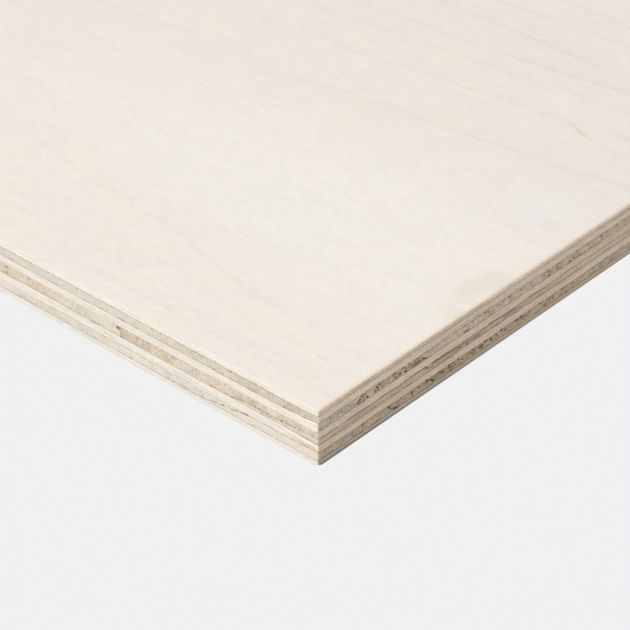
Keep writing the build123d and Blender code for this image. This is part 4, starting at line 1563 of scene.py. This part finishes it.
def veneer_material(name, seed):
    mat = bpy.data.materials.new(name + "_wood")
    n = Nodes(mat)
    x, y, z = n.pos()
    look = LOOK[name]
    short = n.attr("short")
    u = n.mixf(short, x, y)
    p = n.sub(THICK, z)
    lively = n.attr("lively")

    def centred(v, k):
        return n.mul(n.sub(v, 0.5), k)

    # ---- edges: long grain: streaks, hairs, a faint trace of the saw across them ----
    streak = n.noise(n.vec(n.mul(u, 0.10), n.mul(p, 2.2), seed * 13.1), 1.0, 4.0, 0.6)
    hair = n.noise(n.vec(n.mul(u, 0.5), n.mul(p, 7.0), seed * 21.7), 1.0, 3.0, 0.6)
    saw = n.noise(n.vec(n.mul(u, 2.2), n.mul(p, 0.3), seed * 7.9), 1.0, 3.0, 0.6)
    grit = n.noise(n.vec(n.mul(u, 2.7), n.mul(p, 2.7), seed * 31.3), 1.0, 2.0, 0.6)
    longv = n.add(n.add(centred(streak, 1.6), centred(hair, 1.3)), centred(saw, 0.6))
    longv = n.add(longv, centred(grit, 1.1))
    # ---- edges: end grain: cut fibres standing across the ply, specks and blotches ----
    lean = n.add(u, n.mul(p, 0.25))
    hatch = n.noise(n.vec(n.mul(lean, 2.4), n.mul(p, 0.55), seed * 17.3), 1.0, 3.0, 0.62)
    speck = n.noise(n.vec(n.mul(u, 3.3), n.mul(p, 3.3), seed * 11.9), 1.0, 2.0, 0.55)
    blot = n.noise(n.vec(n.mul(u, 0.45), n.mul(p, 0.8), seed * 5.3), 1.0, 3.0, 0.55)
    curl = n.noise(n.vec(n.mul(u, 1.3), n.mul(p, 1.6), seed * 27.1), 1.0, 3.0, 0.62, 1.4)
    across = n.mixf(short, centred(hatch, 1.15), n.add(centred(hatch, 0.5), centred(curl, 1.3)))
    endv = n.add(n.add(across, centred(speck, 1.5)), n.add(centred(blot, 1.0), centred(grit, 1.0)))
    endv = n.sub(endv, n.mul(n.span(speck, 0.58, 0.72), 0.30))
    endv = n.mul(endv, n.span(lively, 0.0, 1.6, 0.45, 1.75))
    kind = n.mixf(short, look["long"][2], look["short"][2])
    val = n.mixf(kind, longv, endv)
    force = n.mixf(short, look["long"][3], look["short"][3])

    base = n.mixc(short, look["long"][0], look["short"][0])
    deep = n.mixc(short, look["long"][1], look["short"][1])
    slow = n.noise(n.vec(n.mul(u, 0.045), n.mul(p, 0.35), seed * 3.1), 1.0, 3.0, 0.5)
    # masks from the mesh
    wl, ws = look.get("warm", (srgb(213, 192, 163), srgb(208, 178, 136)))
    warmc = n.mixc(short, wl, ws)
    greyc = n.mixc(short, srgb(217, 211, 199), srgb(198, 187, 173))
    palec = n.mixc(short, srgb(247, 241, 230), srgb(250, 232, 214))
    base = n.mixc(n.mul(n.attr("warm"), 0.85), base, warmc)
    base = n.mixc(n.mul(n.attr("grey"), 0.85), base, greyc)
    base = n.mixc(n.attr("pale"), base, palec)
    figure = n.span(n.add(n.mul(n.mul(val, -1.0), force), centred(slow, 0.8)), -0.10, 0.85)
    col = n.mixc(figure, base, n.mixc(0.5, deep, n.gain(base, 0.82)))
    amp = n.mul(n.mixf(short, n.mixf(kind, 0.16, 0.20), n.mixf(kind, 0.34, 0.44)), force)
    col = n.gain(col, n.add(1.0, n.mul(val, amp)))
    # wood is never one hue: pinkish here, greenish there
    hue = n.noise(n.vec(n.mul(u, 0.55), n.mul(p, 1.2), seed * 37.9), 1.0, 2.0, 0.55)
    tint = n.mixc(n.span(hue, 0.34, 0.66), (1.022, 0.990, 0.985, 1.0), (0.982, 1.004, 0.992, 1.0))
    col = n.mixc(1.0, col, tint, "MULTIPLY")

    # ---- glue lines ----
    wob = n.noise(n.vec(n.mul(u, 0.8), n.mul(p, 0.2), seed * 4.3), 1.0, 3.0, 0.6)
    brk = n.noise(n.vec(n.mul(u, 2.6), n.mul(p, 0.4), seed * 5.7), 1.0, 2.0, 0.6)
    (gtl, gts), (gbl, gbs) = look["glue"]
    width = n.mixf(short, 0.120, 0.140)
    bend = centred(wob, 0.10)
    ga = n.bell(n.math("MAXIMUM", n.add(n.attr("d_top"), bend), 0.0), width)
    gb = n.bell(n.math("MAXIMUM", n.add(n.attr("d_bot"), bend), 0.0), width)
    g = n.math("MAXIMUM", n.mul(ga, n.mixf(short, gtl, gts)), n.mul(gb, n.mixf(short, gbl, gbs)))
    g = n.mul(g, n.mul(n.span(wob, 0.30, 0.70, 0.6, 1.15), n.span(brk, 0.3, 0.7, 0.7, 1.1)))
    glue = n.mixc(short, srgb(176, 157, 130), srgb(146, 118, 88))
    col = n.mixc(n.math("MINIMUM", g, 1.0), col, glue)

    # ---- torn fibres, holes and checks ----
    torn = n.attr("torn")
    rag = n.noise(n.vec(n.mul(n.add(u, n.mul(p, 0.9)), 2.6), n.mul(p, 2.0), seed * 9.1), 1.0, 3.0, 0.6)
    tornc = n.mixc(n.span(rag, 0.38, 0.62), srgb(182, 148, 106), srgb(246, 224, 192))
    col = n.mixc(n.mul(torn, 0.80), col, tornc)
    # the dark mask: the wood's own dark specks, threads and torn fibres, with painted shade in the holes, checks and
    # hollows
    dark = n.attr("dark")
    col = n.mixc(n.span(dark, 0.0, 1.0, 0.0, 0.92), col, n.mixc(short, srgb(118, 92, 58), srgb(86, 66, 42)))
    col = n.mixc(n.span(dark, 1.0, 1.45), col, srgb(44, 34, 22))

    height = n.add(n.mul(val, n.mixf(kind, 0.03, 0.055)), n.mul(g, -0.04))

    # ---- broad faces ----
    if name in ("face_veneer", "back_veneer"):
        flat = n.attr("flat")
        top = name == "face_veneer"
        bx, by = n.sub(x, HX), n.add(y, HY)  # from C0
        # fibres along the sheet, fine and broad
        f1 = n.noise(n.vec(n.mul(x, 0.055), n.mul(y, 1.9), seed * 1.1), 1.0, 4.0, 0.6)
        f2 = n.noise(n.vec(n.mul(x, 0.020), n.mul(y, 0.35), seed * 2.3), 1.0, 4.0, 0.55)
        f3 = n.noise(n.vec(n.mul(x, 0.50), n.mul(y, 3.6), seed * 2.9), 1.0, 2.0, 0.5)
        f4 = n.noise(n.vec(n.mul(x, 1.5), n.mul(y, 2.3), seed * 8.3), 1.0, 2.0, 0.6)
        f5 = n.noise(n.vec(n.mul(x, 0.30), n.mul(y, 0.62), seed * 12.7), 1.0, 3.0, 0.6, 0.6)
        mott = n.noise(n.vec(n.mul(x, 0.10), n.mul(y, 0.16), seed * 3.3), 1.0, 4.0, 0.6)
        broad = n.noise(n.vec(n.mul(x, 0.0026), n.mul(y, 0.0072), seed * 3.9), 1.0, 3.0, 0.5)
        waver = n.noise(n.vec(n.mul(x, 0.035), n.mul(y, 0.12), seed * 6.1), 1.0, 3.0, 0.55)
        # growth lines near C0
        near = None
        if top:
            t = n.math("DIVIDE", n.add(bx, 200.0), 200.0, clamp=True)
            cy = n.add(by, centred(waver, 1.3))
            for i, (pts, half, depth) in enumerate(LINES):
                at = n.curve(t, [((q[0] + 200.0) / 200.0, q[1] / 200.0) for q in pts])
                d = n.sub(cy, n.mul(at, 200.0))
                ln = n.bell(d, half)
                # darkest on the line, fading slowly on its +Y side
                tail = n.mul(n.span(d, 0.0, 4.5, 1.0, 0.0, True), n.span(d, -0.3, 0.3))
                vary = n.noise(n.vec(n.mul(x, 0.045), 7.31 * i, 3.0), 1.0, 3.0, 0.6)
                ln = n.mul(n.add(ln, n.mul(tail, 0.28)), n.span(vary, 0.32, 0.60, 0.85, 1.1))
                ln = n.mul(ln, n.curve(t, [((q[0] + 200.0) / 200.0, q[1]) for q in depth]))
                x0, x1 = pts[0][0], pts[-1][0]
                if x0 > -199:
                    ln = n.mul(ln, n.span(bx, x0, x0 + 8.0, 0.0, 1.0, True))
                if x1 < -1:
                    ln = n.mul(ln, n.span(bx, x1 - 8.0, x1, 1.0, 0.0, True))
                near = ln if near is None else n.add(near, ln)
            near = n.mul(near, n.span(f3, 0.30, 0.66, 0.55, 1.25))
        # growth lines of the rest of the sheet
        rf = n.add(n.attr("ring_far"), centred(f2, 0.35))
        df = n.math("ABSOLUTE", n.sub(n.math("FRACT", n.add(rf, 0.5)), 0.5))
        idf = n.math("FLOOR", n.add(rf, 0.5))
        varf = n.noise(n.vec(n.mul(x, 0.010), n.mul(idf, 5.7), 8.0), 1.0, 2.0, 0.5)
        far = n.mul(n.bell(df, 0.060), n.span(varf, 0.3, 0.65, 0.25, 1.0))
        tooth = n.math("FRACT", rf)
        far = n.add(far, n.mul(n.mul(tooth, tooth), 0.25))
        mixr = n.attr("ring_mix")
        lines = n.mixf(mixr, far, near) if top else far

        plain = n.mixc(n.span(broad, 0.3, 0.7), TOP_WARM if not top else TOP_COL, TOP_COOL)
        plain = n.mixc(n.mul(n.span(broad, 0.52, 0.72), 0.35), plain, TOP_WARM)
        if top:
            # tone beside C0: a white patch, then browner and duller away from the long edge
            w = n.add(by, centred(waver, 16.0))
            blot = n.noise(n.vec(n.mul(x, 0.085), n.mul(y, 0.13), seed * 5.3), 1.0, 3.0, 0.55)
            wb = n.add(w, centred(blot, 22.0))
            slant = n.add(w, n.mul(bx, 0.32))
            band = n.mul(n.span(wb, 28.5, 35.0, 0.0, 1.0, True), n.span(bx, -105.0, -50.0, 0.22, 1.0, True))
            white = n.add(n.mul(n.span(slant, 3.0, 21.0, 0.0, 1.0, True), 0.45), n.mul(band, 0.55))
            white = n.mul(white, n.span(n.add(wb, n.span(bx, -122.0, -78.0, 16.0, 0.0)), 54.0, 80.0, 1.0, 0.0, True))
            white = n.mul(white, n.span(bx, -34.0, -10.0, 1.0, 0.80, True))
            local = n.mixc(n.span(w, 46.0, 70.0, 0.0, 1.0, True), srgb(239.3, 231.1, 221.7), srgb(237.4, 228.8, 220.2))
            dull = n.mul(n.span(bx, -122.0, -84.0, 0.75, 0.0, True), n.span(w, 12.0, 24.0, 0.0, 1.0, True))
            local = n.mixc(dull, local, srgb(238.0, 229.2, 220.8))
            local = n.mixc(white, local, srgb(239.0, 234.3, 225.7))
            local = n.mixc(n.span(w, 76.0, 102.0, 0.0, 1.0, True), local, srgb(236.0, 227.4, 218.6))
            local = n.mixc(n.span(w, 100.0, 130.0, 0.0, 1.0, True), local, srgb(233.6, 225.6, 217.8))
            local = n.mixc(n.span(w, 132.0, 158.0, 0.0, 1.0, True), local, srgb(231.0, 225.0, 219.4))
            far_end = n.mul(n.span(bx, -40.0, -8.0, 0.0, 0.6, True), n.span(w, 56.0, 90.0, 0.0, 1.0, True))
            local = n.mixc(far_end, local, srgb(232.2, 226.2, 219.0))
            cool = n.mul(n.bell(n.add(bx, 12.5), 10.0), n.bell(n.sub(wb, 77.5), 7.5))
            local = n.mixc(n.mul(cool, 0.85), local, srgb(233.4, 231.4, 225.4))
            dim = n.mul(n.span(bx, -136.0, -116.0, 0.55, 0.0, True), n.span(w, 46.0, 58.0, 0.0, 1.0, True))
            local = n.mixc(dim, local, srgb(234.4, 227.6, 221.2))
            plain = n.mixc(mixr, plain, local)
        topc = n.mixc(n.mul(n.span(mott, 0.38, 0.75), 0.08), plain, TOP_WARM)
        hue2 = n.noise(n.vec(n.mul(x, 0.11), n.mul(y, 0.17), seed * 7.7), 1.0, 3.0, 0.6)
        hue3 = n.noise(n.vec(n.mul(x, 0.13), n.mul(y, 0.20), seed * 9.1), 1.0, 3.0, 0.6)
        tint = n.mixc(n.span(hue2, 0.34, 0.66), (1.010, 0.996, 0.997, 1.0), (0.990, 1.004, 1.003, 1.0))
        topc = n.mixc(1.0, topc, tint, "MULTIPLY")
        tint = n.mixc(n.span(hue3, 0.34, 0.66), (1.001, 1.001, 0.989, 1.0), (0.999, 0.999, 1.011, 1.0))
        topc = n.mixc(1.0, topc, tint, "MULTIPLY")
        topc = n.mixc(n.mul(lines, 0.115), topc, srgb(150, 122, 92))
        fib = n.add(centred(f1, 0.060), centred(f3, 0.080))
        fib = n.add(fib, n.add(centred(f2, 0.030), centred(f4, 0.130)))
        fib = n.add(fib, n.add(centred(f5, 0.115), centred(mott, 0.050)))
        topc = n.gain(topc, n.add(1.0, fib))
        if top:
            # mineral streak, the stain at the short edge, and a tan rim along the +X arris, partly painted shade
            sx = n.add(bx, 23.6)
            sy = n.sub(n.add(by, n.mul(sx, 0.34)), 104.3)
            st = n.mul(n.bell(sx, 2.9), n.bell(sy, 0.60))
            st = n.mul(st, n.span(f3, 0.25, 0.6, 0.6, 1.2))
            bud = n.mul(n.bell(n.add(bx, 26.6), 1.1), n.bell(n.sub(by, 105.3), 0.9))
            topc = n.mixc(n.mul(st, 0.19), topc, srgb(158, 128, 96))
            topc = n.mixc(n.mul(bud, 0.10), topc, srgb(204, 134, 70))
            sb = n.add(by, centred(waver, 2.0))
            # three spots: one that reaches the edge, one set back from it, one small
            sx = n.add(bx, n.add(centred(blot, 3.5), centred(f5, 3.0)))
            s1 = n.mul(n.bell(n.sub(sb, 44.3), 2.4), n.bell(n.add(sx, 3.5), 2.6))
            s1 = n.add(s1, n.mul(n.bell(n.sub(sb, 47.6), 2.4), n.bell(n.add(sx, 4.4), 1.6)))
            s2 = n.mul(n.bell(n.sub(sb, 51.4), 2.9), n.span(sx, -7.0, -4.2, 0.0, 1.0, True))
            s3 = n.mul(n.bell(n.sub(sb, 37.4), 2.6), n.span(sx, -5.2, -1.6, 0.0, 1.0, True))
            s3 = n.add(s3, n.mul(n.bell(n.sub(sb, 59.0), 4.5), n.span(bx, -7.0, -0.6, 0.0, 0.55, True)))
            s4 = n.mul(n.bell(n.sub(sb, 46.5), 8.0), n.span(bx, -16.0, -3.0, 0.0, 0.24, True))
            stain = n.add(n.add(s1, s2), n.add(n.mul(s3, 0.65), s4))
            stain = n.mul(n.math("MINIMUM", stain, 1.0), n.span(f4, 0.25, 0.7, 0.70, 1.15))
            topc = n.mixc(n.mul(stain, 0.20), topc, srgb(203, 184, 138))
            # the rim: partly the edge's own tan colour, partly painted shade that starts the arris's dark edge further
            # in from the +X edge
            rim = n.mul(n.span(bx, -0.85, -0.22, 0.0, 1.0, True), n.span(by, 0.6, 1.2))
            topc = n.mixc(n.mul(rim, 0.38), topc, srgb(216, 182, 142))
        col = n.mixc(flat, col, topc)
        height = n.mixf(flat, height, n.add(n.mul(f1, 0.010), n.mul(f3, 0.008)))
    if name == "face_veneer":
        # painted shade on the arris, strongest on the long edge: its colour is darkened so that it shows a weaker
        # highlight than the light gives it
        on = n.mul(n.span(p, 0.004, 0.05), n.span(p, 0.16, 0.26, 1.0, 0.0))
        col = n.gain(col, n.sub(1.0, n.mul(on, n.mixf(short, 0.115, 0.045))))
    if name == "back_veneer":
        # painted shade: the lower arris of the short edge is darkened, most near C0, for the shade under the sheet
        low = n.mul(n.span(p, 11.15, 11.60, 0.0, 1.0, True), short)
        strength = n.span(n.add(y, HY), 4.0, 80.0, 0.49, 0.20)
        col = n.gain(col, n.sub(1.0, n.mul(low, strength)))

    bump = n.t.nodes.new("ShaderNodeBump")
    bump.inputs["Strength"].default_value = 0.7
    bump.inputs["Distance"].default_value = 0.001
    n.put(bump.inputs["Height"], height)
    n.t.links.new(bump.outputs[0], n.p.inputs["Normal"])
    n.put(n.p.inputs["Base Color"], col)
    n.p.inputs["Roughness"].default_value = 0.8
    n.p.inputs["Specular IOR Level"].default_value = 0.2
    return mat


# =====================================================================================
# Build the ten pieces
# =====================================================================================
total = 0
for k, (name, spec) in enumerate(PLIES.items()):
    me, verts = build(name, spec)
    if name in ("face_veneer", "back_veneer"):
        add_rings(me, verts[: len(me.vertices)], 0 if name == "face_veneer" else 1)
    ob = bpy.data.objects.new(name + "_sheet", me)
    bpy.context.scene.collection.objects.link(ob)
    me.materials.append(veneer_material(name, 1.0 + k))
    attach(ob, "root")
    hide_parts(name)
    tris = sum(len(p.vertices) - 2 for p in me.polygons)
    total += tris
    print(name, "triangles", tris)
print("triangles in all", total)

# =====================================================================================
# Floor, light and camera
# =====================================================================================
fm = bpy.data.meshes.new("floor")
F = 60.0
fm.from_pydata([(-F, -F, 0), (F, -F, 0), (F, F, 0), (-F, F, 0)], [], [(0, 1, 2, 3)])
floor = bpy.data.objects.new("floor", fm)
bpy.context.scene.collection.objects.link(floor)
floor.location.z = -0.00002
fmat = bpy.data.materials.new("pale_floor")
fn = Nodes(fmat)
fn.p.inputs["Base Color"].default_value = (0, 0, 0, 1)
fn.p.inputs["Roughness"].default_value = 1.0
fn.p.inputs["Specular IOR Level"].default_value = 0.0
fn.p.inputs["Emission Color"].default_value = (1, 1, 1, 1)
fpath = fn.t.nodes.new("ShaderNodeLightPath")
fn.put(fn.p.inputs["Emission Strength"], fn.mixf(fpath.outputs["Is Camera Ray"], 0.80, 0.8714))
fm.materials.append(fmat)

world = bpy.data.worlds.new("studio")
bpy.context.scene.world = world
world.use_nodes = True
wt = world.node_tree
wt.nodes.clear()
wo = wt.nodes.new("ShaderNodeOutputWorld")
seen = wt.nodes.new("ShaderNodeBackground")
lit = wt.nodes.new("ShaderNodeBackground")
mix = wt.nodes.new("ShaderNodeMixShader")
path = wt.nodes.new("ShaderNodeLightPath")
seen.inputs[0].default_value = (0.8714, 0.8714, 0.8714, 1)
lit.inputs[0].default_value = (1, 1, 1, 1)
lit.inputs[1].default_value = 0.31
wt.links.new(path.outputs["Is Camera Ray"], mix.inputs[0])
wt.links.new(lit.outputs[0], mix.inputs[1])
wt.links.new(seen.outputs[0], mix.inputs[2])
wt.links.new(mix.outputs[0], wo.inputs[0])

sun = bpy.data.lights.new("key", "SUN")
sun.energy = 2.64
sun.angle = math.radians(25)
sun_ob = bpy.data.objects.new("key", sun)
bpy.context.scene.collection.objects.link(sun_ob)
to_sun = Vector((0.03, -0.50, 0.80)).normalized()
sun_ob.rotation_mode = "QUATERNION"
sun_ob.rotation_quaternion = to_sun.to_track_quat("Z", "Y")

cam = bpy.data.cameras.new("camera")
cam_ob = bpy.data.objects.new("camera", cam)
bpy.context.scene.collection.objects.link(cam_ob)
cam.sensor_fit = "HORIZONTAL"
cam.sensor_width = 36.0
cam.lens = 36.0 * 2600.0 / 630.0
cam.clip_start = 0.02
cam.clip_end = 200.0
AZ, EL = math.radians(42.0), math.radians(34.63)
back = Vector((math.sin(AZ) * math.cos(EL), -math.cos(AZ) * math.cos(EL), math.sin(EL)))
cam_ob.location = Vector((HX / 1000 + 0.23636, -HY / 1000 - 0.26333, THICK / 1000 + 0.26435))
cam_ob.rotation_mode = "QUATERNION"
cam_ob.rotation_quaternion = back.to_track_quat("Z", "Y")
bpy.context.scene.camera = cam_ob

bpy.context.scene.view_settings.view_transform = "Standard"
bpy.context.scene.view_settings.look = "None"
bpy.context.scene.view_settings.exposure = 0.0
bpy.context.scene.view_settings.gamma = 1.0
